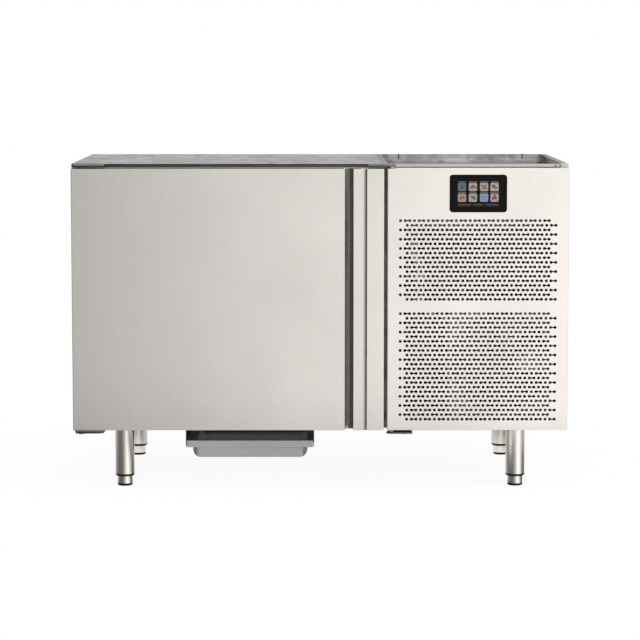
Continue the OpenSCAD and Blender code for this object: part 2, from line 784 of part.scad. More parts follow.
// Tray below the coil, with a hole over the drain
module drip_tray() color(steel_c) {
  side_gap = 14;
  front_gap = 5;
  back_gap = 3;
  depth = 22;
  lo = [ch_x0 + side_gap, cover_y + front_gap, drip_z0];
  hi = [ch_x1 - side_gap, ch_yb - back_gap, drip_z0 + depth];
  difference() {
    block(lo, hi);
    block(lo + [cover_t, cover_t, cover_t], hi + [-cover_t, -cover_t, eps]);
    bar_z(drain[0], drain[1], drip_z0 - eps, drip_z0 + cover_t + eps, drain_r - drain_wall);
  }
}

drain_wall = 2;
drain_end = 108;                          // lower end of the drain, just above the tray

module drain_pipe() color([0.85, 0.86, 0.86]) difference() {
  flange_t = 4;
  flange_w = 5;
  union() {
    bar_z(drain[0], drain[1], drain_end, drip_z0, drain_r);
    bar_z(drain[0], drain[1], z_b - flange_t, z_b, drain_r + flange_w);
  }
  bar_z(drain[0], drain[1], drain_end - eps, drip_z0 + eps, drain_r - drain_wall);
}

rack_y = [ch_yf + 4, cover_y - 8];
rack_post = 12;
rack_levels = 7;
rack_pitch = 68;
rack_z0 = ch_z0 + 50;

rack_ledge = 20;
rack_t = 1.5;
rack_h = 14;
rack_wall_gap = 17;
weld_gap = 0.05;                          // between a ledge and its strip
rack_face = (ch_x1 - ch_x0) / 2 - rack_wall_gap - rack_post;   // half the distance between the posts

// Posts on wall pins, and at each level a ledge with an upright strip that keeps the tray in line
module tray_racks() color(steel_c) both_sides((ch_x0 + ch_x1) / 2) {
  rack_l = rack_y[1] - rack_y[0];
  post_y = [rack_y[0] + 20, rack_y[1] - 60];
  post_z = [ch_z0 + 6, ch_z1 - 14];
  pin_z = [ch_z0 + 40, ch_z1 - 60];
  pin_r = 4;
  for (y = post_y) {
    block([rack_face, y, post_z[0]], [rack_face + rack_post, y + rack_post, post_z[1]]);
    for (z = pin_z)
      bar_x(y + rack_post / 2, z, rack_face + rack_post - eps, rack_face + rack_post + rack_wall_gap, pin_r);
  }
  for (i = [0:rack_levels - 1]) translate([rack_face, rack_y[0], rack_z0 + i * rack_pitch]) {
    translate([-rack_t, 0, 0]) cube([rack_t, rack_l, rack_h]);
    translate([-rack_ledge - weld_gap, 0, -rack_t - weld_gap]) cube([rack_ledge, rack_l, rack_t]);
  }
}

// -------------------------------------------------------- under the cabinet

// Hanging rails whose inner ledges carry the tray's rim
module tray_rails() color([0.22, 0.22, 0.22]) both_sides(tray_x) {
  ledge_w = 11;
  flange_w = 14;
  x = tray_w / 2 + rail_gap;
  y0 = tray_y0 + tray_wall + 0.5;
  y1 = tray_y0 + tray_l - 6;
  ledge_z = tray_top - tray_wall - 0.3;
  block([x, y0, rail_bottom], [x + rail_t, y1, z_b]);
  block([x - ledge_w, y0, ledge_z - rail_t], [x, y1, ledge_z]);
  block([x - flange_w, y0, z_b - rail_t], [x, y1, z_b]);
}

// Outline of the tray's body, seen from the front, with round lower corners
module tray_section(half_w, depth, r) {
  translate([-half_w, -depth + r]) square([2 * half_w, depth - r]);
  translate([-half_w + r, -depth]) square([2 * (half_w - r), r + eps]);
  for (s = [-1, 1]) translate([s * (half_w - r), -depth + r]) circle(r);
}

module tray_body(half_w, depth, r, y0, y1) intersection() {
  translate([tray_x, 0, tray_top]) sweep_y(y0, y1) tray_section(half_w, depth, r);
  translate([tray_x, 0, 0]) sweep_z(tray_top - depth - eps, tray_top + eps)
    translate([-half_w, y0]) round_rect(2 * half_w, y1 - y0, r);
}

module condensate_tray() color([0.62, 0.62, 0.62]) {
  rim = 14;
  round_r = 20;
  y0 = tray_y0;
  y1 = tray_y0 + tray_l;
  difference() {
    union() {
      block([tray_x - tray_w / 2, y0, tray_top - tray_wall], [tray_x + tray_w / 2, y1, tray_top]);
      tray_body(tray_body_w / 2, tray_h, round_r, y0 + rim, y1 - rim);
      block([tray_x - tray_w / 2, y0, tray_top - tray_skirt], [tray_x + tray_w / 2, y0 + tray_wall, tray_top]);
    }
    translate([0, 0, eps])
      tray_body(tray_body_w / 2 - tray_wall, tray_h - tray_wall + eps, round_r - tray_wall,
                y0 + rim + tray_wall, y1 - rim - tray_wall);
  }
}

// ------------------------------------------------------------ legs and feet

leg_wall = 1.5;
leg_plate = 92;                           // side of the plate on top of a leg

module legs() color(steel_c) for (x = [-leg_x, leg_x], i = [0, 1]) translate([x, leg_y[i], 0]) {
  difference() {
    bar_z(0, 0, ring_z[1], z_b - plate_t, leg_d / 2);
    bar_z(0, 0, ring_z[1] - eps, z_b - plate_t - eps, leg_d / 2 - leg_wall);
  }
  plate_y = i == 0 ? [y_f + eps - leg_y[0], leg_plate - 22] : [-leg_plate / 2, leg_plate / 2];
  block([-leg_plate / 2, plate_y[0], z_b - plate_t], [leg_plate / 2, plate_y[1], z_b]);
}

// Black ring under each leg, with a guide for the foot inside the tube
module leg_inserts() color([0.07, 0.07, 0.07]) for (x = [-leg_x, leg_x], y = leg_y)
  translate([x, y, 0]) difference() {
    ring_r = leg_d / 2;
    slope = 3;
    rotate_extrude() {
      polygon([[0, ring_z[0]], [ring_r - slope, ring_z[0]], [ring_r, ring_z[0] + slope],
               [ring_r, ring_z[1]], [0, ring_z[1]]]);
      translate([0, ring_z[1]]) square([ring_r - leg_wall - 0.1, insert_top - ring_z[1]]);
    }
    bar_z(0, 0, ring_z[0] - eps, insert_top + eps, foot_d / 2 + run_gap);
  }

// Telescoping foot: a closed steel sleeve over a black base pad
module foot(x, y) color(steel_c) translate([x, y, 0]) difference() {
  sleeve_wall = 1.5;
  bar_z(0, 0, pad_h, foot_top, foot_d / 2);
  bar_z(0, 0, pad_h + 2, foot_top + eps, foot_d / 2 - sleeve_wall);
}

module foot_pad(x, y) color([0.06, 0.06, 0.06]) translate([x, y, 0]) rotate_extrude() {
  edge = 3;
  r = foot_d / 2;
  square([r - edge, pad_h]);
  translate([0, edge]) square([r, pad_h - edge]);
  translate([r - edge, edge]) circle(edge);
}

module foot_front_left() foot(-leg_x, leg_y[0]);
module foot_front_right() foot(leg_x, leg_y[0]);
module foot_back_left() foot(-leg_x, leg_y[1]);
module foot_back_right() foot(leg_x, leg_y[1]);
module foot_pad_front_left() foot_pad(-leg_x, leg_y[0]);
module foot_pad_front_right() foot_pad(leg_x, leg_y[0]);
module foot_pad_back_left() foot_pad(-leg_x, leg_y[1]);
module foot_pad_back_right() foot_pad(leg_x, leg_y[1]);

// --------------------------------------------------------------------- door

lip_x1 = door_x1 - grip_strip;            // right end of the grip's rounded edge
lip_x0 = lip_x1 - grip_round - grip_lip;  // tip of the pull lip
mouth_x0 = lip_x0 - grip_mouth;           // left edge of the grip's mouth
fold_r = 2;                               // outside radius of a folded edge

// Plan of the door's skin: a folded sheet with a channel for the grip profile
module skin_plan() difference() {
  union() {
    translate([door_x0 + fold_r, 0]) square([door_w - 2 * fold_r, door_t - sheet]);
    translate([door_x0, fold_r]) square([door_w, door_t - sheet - fold_r]);
    for (x = [door_x0 + fold_r, door_x1 - fold_r]) translate([x, fold_r]) circle(fold_r);
  }
  for (x = [[door_x0 + sheet, mouth_x0 - sheet], [lip_x1 + sheet, door_x1 - sheet]])
    translate([x[0], sheet]) square([x[1] - x[0], door_t]);
  translate([mouth_x0 - 2 * sheet, grip_d + 2 * sheet]) square([lip_x1 - mouth_x0 + 4 * sheet, door_t]);
  translate([mouth_x0, -eps]) square([lip_x1 - mouth_x0, grip_d + sheet + eps]);
}

module door_skin() color([0.82, 0.80, 0.78])
  translate([0, y_door, 0]) sweep_z(front_z0, front_z1) skin_plan();

// Grip profile: a pocket for the fingers behind a lip with a rounded right edge
module grip_plan() {
  pocket_r = 12.5;
  tip_r = 1.8;
  lip_t = 2 * tip_r;
  wall = 1;
  depth = grip_d + sheet;
  deep = lip_t + pocket_r;
  round_x = lip_x1 - grip_round;
  pocket_x = [mouth_x0 + wall + pocket_r, round_x - 2 * wall - pocket_r];
  difference() {
    union() {
      translate([mouth_x0, 0]) square([round_x - mouth_x0, depth]);
      translate([round_x - eps, grip_round]) square([grip_round + eps, depth - grip_round]);
      translate([round_x, grip_round]) circle(grip_round);
    }
    translate([mouth_x0 + wall, -eps]) square([grip_mouth - wall + tip_r, deep + eps]);
    for (x = pocket_x) translate([x, deep]) circle(pocket_r);
    translate([pocket_x[0], lip_t]) square([pocket_x[1] - pocket_x[0], 2 * pocket_r]);
  }
  translate([lip_x0 + tip_r, tip_r]) circle(tip_r);
  translate([lip_x0 + tip_r, 0]) square([tip_r, lip_t]);
}

module door_grip() color([0.78, 0.76, 0.74])
  translate([0, y_door, 0]) sweep_z(front_z0, front_z1) grip_plan();

cap_t = 3.5;
cap_gap = 0.5;                            // between a cap and what stands next to it
bush_l = 23;
bush_r = 7;
plinth = [[open_x0 + 12, open_z0 + 12], [open_x1 - 12, open_z1 - 12]];
plinth_h = 5;

module door_foam() color([0.93, 0.88, 0.66]) difference() {
  union() {
    block([door_x0 + sheet, y_door + sheet, front_z0 + cap_t + cap_gap],
          [door_x1 - sheet, y_door_b - sheet, front_z1 - cap_t - cap_gap]);
    block([plinth[0][0] + sheet, y_door_b - 2 * sheet, plinth[0][1] + sheet],
          [plinth[1][0] - sheet, y_door_b + plinth_h - sheet, plinth[1][1] - sheet]);
  }
  block([mouth_x0 - sheet, y_door, front_z0], [lip_x1 + sheet, y_door + grip_d + 2 * sheet, front_z1]);
  for (z = [front_z0, front_z1 - bush_l - cap_gap])
    bar_z(door_pin[0], door_pin[1], z, z + bush_l + cap_gap, bush_r);
}

// Inner sheet of the door, with a raised panel inside the gasket
module door_liner() color(steel_c) difference() {
  union() {
    block([door_x0, y_door_b - sheet, front_z0], [door_x1, y_door_b, front_z1]);
    block([plinth[0][0], y_door_b, plinth[0][1]], [plinth[1][0], y_door_b + plinth_h, plinth[1][1]]);
  }
  block([plinth[0][0] + sheet, y_door_b - 2 * sheet, plinth[0][1] + sheet],
        [plinth[1][0] - sheet, y_door_b + plinth_h - sheet, plinth[1][1] - sheet]);
}

gasket_lo = [open_x0 - 6, open_z0 - 8];   // inner corners of the gasket
gasket_hi = [open_x1 + 8, open_z1 + 8];

// Rectangular ring round the gasket's inner corners, from one offset to another
module gasket_ring(y0, y1, inset, out) difference() {
  block([gasket_lo[0] - out, y0, gasket_lo[1] - out], [gasket_hi[0] + out, y1, gasket_hi[1] + out]);
  block([gasket_lo[0] - inset, y0 - eps, gasket_lo[1] - inset],
        [gasket_hi[0] + inset, y1 + eps, gasket_hi[1] + inset]);
}

// Magnetic gasket: a wide base and a narrower sealing bead
module door_gasket() color([0.45, 0.46, 0.47]) {
  base_w = 18;
  base_t = 3;
  bead_in = 3;
  press_gap = 0.3;
  gasket_ring(y_door_b, y_door_b + base_t, 0, base_w);
  gasket_ring(y_door_b + base_t - 0.01, y_f - press_gap, bead_in, base_w - bead_in);
}

module door_caps() color(dark_c) for (z = [front_z0 + cap_gap, front_z1 - cap_t - cap_gap]) difference() {
  block([door_x0 + sheet, y_door + sheet, z], [door_x1 - sheet, y_door_b - sheet, z + cap_t]);
  block([mouth_x0 - sheet, y_door, z - eps], [lip_x1 + sheet, y_door + grip_d + 2 * sheet, z + cap_t + eps]);
  bar_z(door_pin[0], door_pin[1], z - eps, z + cap_t + eps, bush_r);
}

module door_bushes() color([0.88, 0.87, 0.82])
  for (z = [front_z0 + cap_gap, front_z1 - bush_l - cap_gap]) difference() {
    bar_z(door_pin[0], door_pin[1], z, z + bush_l, bush_r);
    bar_z(door_pin[0], door_pin[1], z - eps, z + bush_l + eps, door_pin_r + run_gap);
  }

low_plate_z = [z_b - 6, z_b - 2.5];       // lower hinge plate

// Brackets on the cabinet above and below the door, each with its pin
module door_hinges() color([0.50, 0.50, 0.50]) {
  front = y_door + 2;
  low_front = y_door + 4;
  low_x = [door_br_x[0] + 2.1, door_br_x[1] - 5.4];
  chamfer = 14;
  pin_in = 2;
  head_t = 3;
  block([door_br_x[0], front, bracket_z], [door_br_x[1], y_f + bracket_tail, z_t - sheet]);
  bar_z(door_pin[0], door_pin[1], front_z1 - bush_l + pin_in, bracket_z + eps, door_pin_r);
  difference() {
    block([low_x[0], low_front, low_plate_z[0]], [low_x[1], y_f + bracket_tail, low_plate_z[1]]);
    translate([low_x[1], low_front, low_plate_z[0] - eps]) rotate([0, 0, 45])
      cube([chamfer, chamfer, plate_t * 3], center = true);
  }
  block([low_x[0], y_f + eps, low_plate_z[1]], [low_x[1], y_f + bracket_tail, z_b]);
  bar_z(door_pin[0], door_pin[1], low_plate_z[0], front_z0 + bush_l - pin_in, door_pin_r);
  bar_z(door_pin[0], door_pin[1], low_plate_z[0] - head_t, low_plate_z[0], door_pin_r + head_t);
}

// Steel plate under the door that turns with it on the lower pin
module door_bearing_plate() color([0.55, 0.55, 0.55]) difference() {
  plate_gap = 1;
  back_in = 5;
  right_in = 2.3;
  pin_gap = 0.3;
  block([door_br_x[0], y_door + 4, low_plate_z[1] + plate_gap],
        [door_br_x[1] - right_in, y_door_b - back_in, front_z0]);
  bar_z(door_pin[0], door_pin[1], low_plate_z[1], front_z0 + eps, door_pin_r + pin_gap);
}

// ------------------------------------------------------------ service panel

panel_t = 1.2;
panel_bush_r = 6;
bezel_x0 = panel_x0 + bezel_left;
bezel_z0 = front_z1 - bezel_top - bezel_h;
collar_in = 6;
window_in = 9;
module_y = 12;                            // display module's distance behind the front

// Perforated cover: a front sheet with deep folded returns on all four sides
module service_panel() color([0.88, 0.87, 0.85]) {
  side_flange = 20;
  stud_r = 3;
  panel_w = panel_x1 - panel_x0;
  z1 = front_z1 - panel_t;
  sweep_y(y_door, y_door + panel_t) difference() {
    translate([panel_x0 + fold_r, front_z0]) square([panel_w - 2 * fold_r, door_h]);
    hole_rows(rows_upper, front_z1 - upper_top);
    hole_rows(rows_lower, front_z1 - lower_top);
    translate([bezel_x0 + collar_in, bezel_z0 + collar_in])
      square([bezel_w - 2 * collar_in, bezel_h - 2 * collar_in]);
  }
  // folded returns on the left and the right
  both_sides((panel_x0 + panel_x1) / 2) translate([-panel_w / 2, y_door, 0]) sweep_z(front_z0, front_z1) {
    difference() {
      translate([fold_r, fold_r]) circle(fold_r);
      translate([fold_r, fold_r]) circle(fold_r - panel_t);
      translate([fold_r, -eps]) square(3 * fold_r);
      translate([-eps, fold_r]) square(3 * fold_r);
    }
    translate([0, fold_r]) square([panel_t, door_t - fold_r]);
  }
  // returns along the top and the bottom, with holes for the bushes
  for (z = [front_z0, z1]) difference() {
    block([panel_x0 + panel_t, y_door + panel_t, z], [panel_x1 - panel_t, y_door_b, z + panel_t]);
    bar_z(panel_pin[0], panel_pin[1], z - eps, z + panel_t + eps, panel_bush_r);
  }
  // closing flange on the right, which meets the magnets
  block([panel_x1 - side_flange, y_door_b - panel_t, front_z0 + panel_t], [panel_x1 - panel_t, y_door_b, z1]);
  // studs that carry the display module
  for (x = [bezel_x0, bezel_x0 + bezel_w], z = [bezel_z0, bezel_z0 + bezel_h])
    bar_y(x, z, y_door + panel_t, y_door + module_y, stud_r);
}

// Plate with round corners inside the bezel's outline
module rounded_plate(inset, y0, y1, r) sweep_y(y0, y1)
  translate([bezel_x0 + inset, bezel_z0 + inset]) round_rect(bezel_w - 2 * inset, bezel_h - 2 * inset, r);

module display_bezel() color([0.05, 0.05, 0.05]) difference() {
  collar_y = y_door + 10;
  union() {
    rounded_plate(0, y_door - bezel_proud, y_door, 8);
    rounded_plate(collar_in + 0.3, y_door - eps / 2, collar_y, 2);
  }
  rounded_plate(window_in, y_door - bezel_proud - eps, collar_y + eps, 2);
}

module display_glass() color([0.03, 0.03, 0.04])
  rounded_plate(window_in + 0.2, y_door - bezel_proud + 0.2, y_door + 0.8, 2);

module display_module() color([0.16, 0.25, 0.20]) {
  margin = 5;
  rounded_plate(window_in + 2, y_door + 0.8, y_door + module_y, 1);
  block([bezel_x0 - margin, y_door + module_y, bezel_z0 - margin],
        [bezel_x0 + bezel_w + margin, y_door + module_y + 14, bezel_z0 + bezel_h + margin]);
}

// Brackets on the cabinet above and below the service panel, each with its pin
module panel_hinges() color([0.35, 0.35, 0.35]) {
  end_r = 12;
  tail = 30;
  pin_in = 10;
  low_z = [z_b - 6.5, z_b - 2];
  low_x1 = panel_pin[0] + 53.2;
  screw = [panel_pin[0] + 31, panel_pin[1] + 4];
  screw_h = 2.5;
  screw_r = 4;
  block([panel_br_x[0], y_door + 2, bracket_z], [panel_br_x[1], y_f + tail, z_t - sheet]);
  bar_z(panel_pin[0], panel_pin[1], front_z1 - pin_in, bracket_z + eps, panel_pin_r);
  bar_z(panel_pin[0], panel_pin[1], low_z[0], low_z[1], end_r);
  block([panel_pin[0], panel_pin[1] - end_r, low_z[0]], [low_x1, y_f + tail, low_z[1]]);
  block([panel_pin[0], y_f + eps, low_z[1]], [low_x1, y_f + tail, z_b]);
  bar_z(panel_pin[0], panel_pin[1], low_z[1] - eps, front_z0 + pin_in, panel_pin_r);
  bar_z(screw[0], screw[1], low_z[0] - screw_h, low_z[0], screw_r);
}

// Brass bushes in the panel's returns, with a collar towards each bracket
module panel_bushes() color([0.80, 0.58, 0.32]) difference() {
  collar_gap = 0.3;
  collar_r = panel_bush_r + 1.5;
  length = 12;
  union() {
    bar_z(panel_pin[0], panel_pin[1], z_b - 2 + collar_gap, front_z0, collar_r);
    bar_z(panel_pin[0], panel_pin[1], front_z0, front_z0 + length, panel_bush_r);
    bar_z(panel_pin[0], panel_pin[1], front_z1 - length, front_z1, panel_bush_r);
    bar_z(panel_pin[0], panel_pin[1], front_z1, bracket_z - collar_gap, collar_r);
  }
  bar_z(panel_pin[0], panel_pin[1], z_b - 3, bracket_z + eps, panel_pin_r + run_gap);
}

module panel_magnets() color([0.20, 0.20, 0.21]) {
  length = 40;
  edge_in = [17, 5];
  end_in = 90;
  air = 0.4;
  for (z = [front_z0 + end_in, front_z1 - end_in - length])
    block([panel_x1 - edge_in[0], y_door_b + air, z], [panel_x1 - edge_in[1], y_f, z + length]);
}

outer_casing();
insulation_foam();
inner_liner();
front_frame();
breaker_frame();
top_sheet();
divider_wall();
right_side_wall();
base_pan();
back_panel();
front_rim();
casing_screws();
compressor();
compressor_mounts();
condenser_coil();
condenser_shroud();
condenser_fan_motor();
condenser_fan_blade();
liquid_receiver();
filter_drier();
refrigerant_pipes();
electrical_box();
cable_gland();
fan_cover();
fan_guards();
evaporator_coil();
evaporator_fan_motors();
evaporator_fan_blade_left();
evaporator_fan_blade_right();
drip_tray();
drain_pipe();
tray_racks();
tray_rails();
condensate_tray();
legs();
leg_inserts();
foot_front_left();
foot_front_right();
foot_back_left();
foot_back_right();
foot_pad_front_left();
foot_pad_front_right();
foot_pad_back_left();
foot_pad_back_right();
door_skin();
door_grip();
door_foam();
door_liner();
door_gasket();
door_caps();
door_bushes();
door_hinges();
door_bearing_plate();
service_panel();
display_bezel();
display_glass();
display_module();
panel_hinges();
panel_bushes();
panel_magnets();
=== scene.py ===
"""Looks of an undercounter blast chiller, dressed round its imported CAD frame.

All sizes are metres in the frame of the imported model: origin on the floor at the
middle of the outline, +Z up, door and display facing -Y.  Each sub-assembly is a
class whose fields are its sizes and whose methods build its pieces and give them
their finishes.  Effects that several finishes share are shader node groups.
"""

import logging
import math
from abc import ABC, abstractmethod
from dataclasses import dataclass, field
from enum import Enum
from typing import Any, Iterable, Optional, Sequence, Union

import bmesh
import bpy
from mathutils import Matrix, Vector

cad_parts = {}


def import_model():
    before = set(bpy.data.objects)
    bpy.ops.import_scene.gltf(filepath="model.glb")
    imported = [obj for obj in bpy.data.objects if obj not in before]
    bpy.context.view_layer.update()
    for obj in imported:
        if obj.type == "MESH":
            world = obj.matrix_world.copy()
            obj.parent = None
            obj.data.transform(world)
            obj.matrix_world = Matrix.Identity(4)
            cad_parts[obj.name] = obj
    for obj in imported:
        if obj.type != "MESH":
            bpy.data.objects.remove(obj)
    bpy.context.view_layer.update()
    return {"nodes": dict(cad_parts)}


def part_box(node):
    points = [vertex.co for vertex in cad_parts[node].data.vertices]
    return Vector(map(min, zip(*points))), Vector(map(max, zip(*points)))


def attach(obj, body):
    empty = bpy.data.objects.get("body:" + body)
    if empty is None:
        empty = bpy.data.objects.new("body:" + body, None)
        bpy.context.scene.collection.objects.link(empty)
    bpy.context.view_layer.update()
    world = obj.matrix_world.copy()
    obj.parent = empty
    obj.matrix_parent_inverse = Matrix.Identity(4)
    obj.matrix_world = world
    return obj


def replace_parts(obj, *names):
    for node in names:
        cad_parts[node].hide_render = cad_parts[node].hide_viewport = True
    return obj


LOG = logging.getLogger("blast_chiller")

Colour = tuple[float, float, float]
Point = tuple[float, float, float]
Wire = Union[float, Sequence[float], bpy.types.NodeSocket]


def tone(red: int, green: int, blue: int) -> Colour:
    """Turns a colour written in 0-255 display values into linear light.

    Args:
        red: Red as displayed.
        green: Green as displayed.
        blue: Blue as displayed.

    Returns:
        The same colour in linear light.
    """
    def channel(value: int) -> float:
        """One channel, decoded."""
        part = value / 255.0
        return part / 12.92 if part <= 0.04045 else ((part + 0.055) / 1.055) ** 2.4

    return channel(red), channel(green), channel(blue)


def shade(colour: Colour, factor: float, lift: float = 0.0) -> Colour:
    """A colour made darker or lighter by a factor, plus a lift, held at white."""
    return tuple(min(1.0, channel * factor + lift) for channel in colour)


# ------------------------------------------------------------------ node sheets


class NodeSheet:
    """A node tree that is being wired, with short calls to add and join nodes."""

    def __init__(self, tree: bpy.types.NodeTree) -> None:
        """Starts on an empty tree.

        Args:
            tree: The node tree to fill; whatever it holds is cleared.
        """
        tree.nodes.clear()
        self.tree = tree

    def add(self, kind: str, wires: Optional[dict[Union[str, int], Wire]] = None,
            **settings: Any) -> bpy.types.Node:
        """Adds a node.

        Args:
            kind: The node's type, such as "ShaderNodeTexNoise".
            wires: Values or output sockets for its inputs, by name or number.
            **settings: Properties of the node itself.

        Returns:
            The new node.
        """
        node = self.tree.nodes.new(kind)
        for name, value in settings.items():
            setattr(node, name, value)
        for name, value in (wires or {}).items():
            self.feed(node.inputs[name], value)
        return node

    def feed(self, socket: bpy.types.NodeSocket, value: Wire) -> None:
        """Joins an output to an input, or writes a plain value on it."""
        if isinstance(value, bpy.types.NodeSocket):
            self.tree.links.new(value, socket)
        elif isinstance(value, (tuple, list)) and socket.type == "RGBA":
            socket.default_value = (*value[:3], 1.0)
        else:
            socket.default_value = value

    def maths(self, operation: str, *values: Wire, clamp: bool = False) -> bpy.types.NodeSocket:
        """Adds a Math node and returns its output.

        Args:
            operation: The Math node's operation.
            *values: Its inputs in order.
            clamp: Whether the result is held between 0 and 1.

        Returns:
            The output socket.
        """
        return self.add("ShaderNodeMath", dict(enumerate(values)), operation=operation,
                        use_clamp=clamp).outputs[0]

    def times(self, first: Wire, second: Wire) -> bpy.types.NodeSocket:
        """Multiplies two numbers."""
        return self.maths("MULTIPLY", first, second)

    def vectors(self, operation: str, *values: Wire) -> bpy.types.NodeSocket:
        """Adds a Vector Math node and returns its first output."""
        return self.add("ShaderNodeVectorMath", dict(enumerate(values)),
                        operation=operation).outputs[0]

    def dot(self, first: Wire, second: Wire) -> bpy.types.NodeSocket:
        """The dot product of two vectors."""
        return self.add("ShaderNodeVectorMath", {0: first, 1: second},
                        operation="DOT_PRODUCT").outputs["Value"]

    def parts(self, vector: Wire) -> Any:
        """A vector's X, Y and Z outputs."""
        return self.add("ShaderNodeSeparateXYZ", {0: vector}).outputs

    def spread(self, value: Wire, low: float, high: float, to_low: float,
               to_high: float) -> bpy.types.NodeSocket:
        """Maps a value's range onto another, held at its ends.

        Args:
            value: The value.
            low: Where the first range starts.
            high: Where it ends.
            to_low: What its start becomes.
            to_high: What its end becomes.

        Returns:
            The output socket.
        """
        node = self.add("ShaderNodeMapRange", {0: value, 1: low, 2: high, 3: to_low, 4: to_high})
        return node.outputs[0]

    def blend(self, share: Wire, first: Wire, second: Wire,
              mode: str = "MIX") -> bpy.types.NodeSocket:
        """Mixes two colours.

        Args:
            share: How much of the second one.
            first: The first colour.
            second: The second colour.
            mode: The way they are mixed.

        Returns:
            The mixed colour's socket.
        """
        node = self.add("ShaderNodeMix", None, data_type="RGBA", blend_type=mode)
        self.feed(node.inputs[0], share)
        self.feed(node.inputs[6], first)
        self.feed(node.inputs[7], second)
        return node.outputs[2]

    def layer(self, base: Wire, mask: Wire, amount: float, over: Wire) -> bpy.types.NodeSocket:
        """Lays a colour over another one.

        Args:
            base: The colour so far.
            mask: Where the new one lies, 0 to 1.
            amount: How much of it counts.
            over: The new colour.

        Returns:
            The mixed colour's socket.
        """
        return self.blend(self.times(mask, amount), base, over)

    def noise(self, place: Wire, scale: Wire, detail: float = 2.0,
              roughness: float = 0.5) -> bpy.types.NodeSocket:
        """Adds a noise texture and returns its grey output."""
        return self.add("ShaderNodeTexNoise", {"Vector": place, "Scale": scale, "Detail": detail,
                                               "Roughness": roughness}).outputs[0]

    def place(self) -> bpy.types.NodeSocket:
        """The point on the object in its own coordinates."""
        return self.add("ShaderNodeTexCoord").outputs["Object"]

    def normal(self) -> bpy.types.NodeSocket:
        """The surface's own normal."""
        return self.add("ShaderNodeNewGeometry").outputs["Normal"]


class SharedEffect(ABC):
    """A shader node group that several finishes use, built once."""

    name: str = ""
    takes: tuple[tuple[str, str, Any], ...] = ()
    gives: tuple[tuple[str, str], ...] = ()

    @abstractmethod
    def wire(self, sheet: NodeSheet, inputs: Any, outputs: Any) -> None:
        """Fills the group.

        Args:
            sheet: The group's node sheet.
            inputs: The sockets that bring values in.
            outputs: The sockets that take results out.
        """

    def group(self) -> bpy.types.NodeTree:
        """Builds the group, or finds it where it is built already."""
        found = bpy.data.node_groups.get(self.name)
        if found is not None:
            return found
        tree = bpy.data.node_groups.new(self.name, "ShaderNodeTree")
        sheet = NodeSheet(tree)
        for label, kind, start in self.takes:
            socket = tree.interface.new_socket(label, in_out="INPUT", socket_type=kind)
            socket.default_value = start
        for label, kind in self.gives:
            tree.interface.new_socket(label, in_out="OUTPUT", socket_type=kind)
        ways_in = sheet.add("NodeGroupInput").outputs
        ways_out = sheet.add("NodeGroupOutput").inputs
        self.wire(sheet, ways_in, ways_out)
        return tree

    def use(self, sheet: NodeSheet, **values: Wire) -> Any:
        """Places the group in a material.

        Args:
            sheet: The material's node sheet.
            **values: Values or sockets by the group's input names.

        Returns:
            The placed group's outputs.
        """
        node = sheet.add("ShaderNodeGroup", None, node_tree=self.group())
        for label, value in values.items():
            sheet.feed(node.inputs[label], value)
        return node.outputs


FLOAT = "NodeSocketFloat"
VECTOR = "NodeSocketVector"
COLOUR = "NodeSocketColor"


class BrushedGrain(SharedEffect):
    """Fine scratches that run one way, as a grinding belt leaves them."""

    name = "brushed_grain"
    takes = (("Place", VECTOR, (0, 0, 0)), ("Lines", VECTOR, (1500.0, 1500.0, 9.0)),
             ("Depth", FLOAT, 0.5))
    gives = (("Height", FLOAT), ("Streak", FLOAT))

    def wire(self, sheet: NodeSheet, inputs: Any, outputs: Any) -> None:
        """Two stretched noises, one for the scratches and one for broader bands."""
        fine = sheet.noise(sheet.vectors("MULTIPLY", inputs["Place"], inputs["Lines"]), 1.0, 3.0, 0.7)
        broad_lines = sheet.vectors("MULTIPLY", inputs["Lines"], (0.11, 0.11, 0.3))
        broad = sheet.noise(sheet.vectors("MULTIPLY", inputs["Place"], broad_lines), 1.0, 2.0, 0.6)
        sheet.feed(outputs["Height"], sheet.maths("MULTIPLY", fine, inputs["Depth"]))
        both = sheet.maths("ADD", sheet.times(fine, 0.78), sheet.times(broad, 0.22))
        sheet.feed(outputs["Streak"], sheet.spread(both, 0.3, 0.7, 0.0, 1.0))


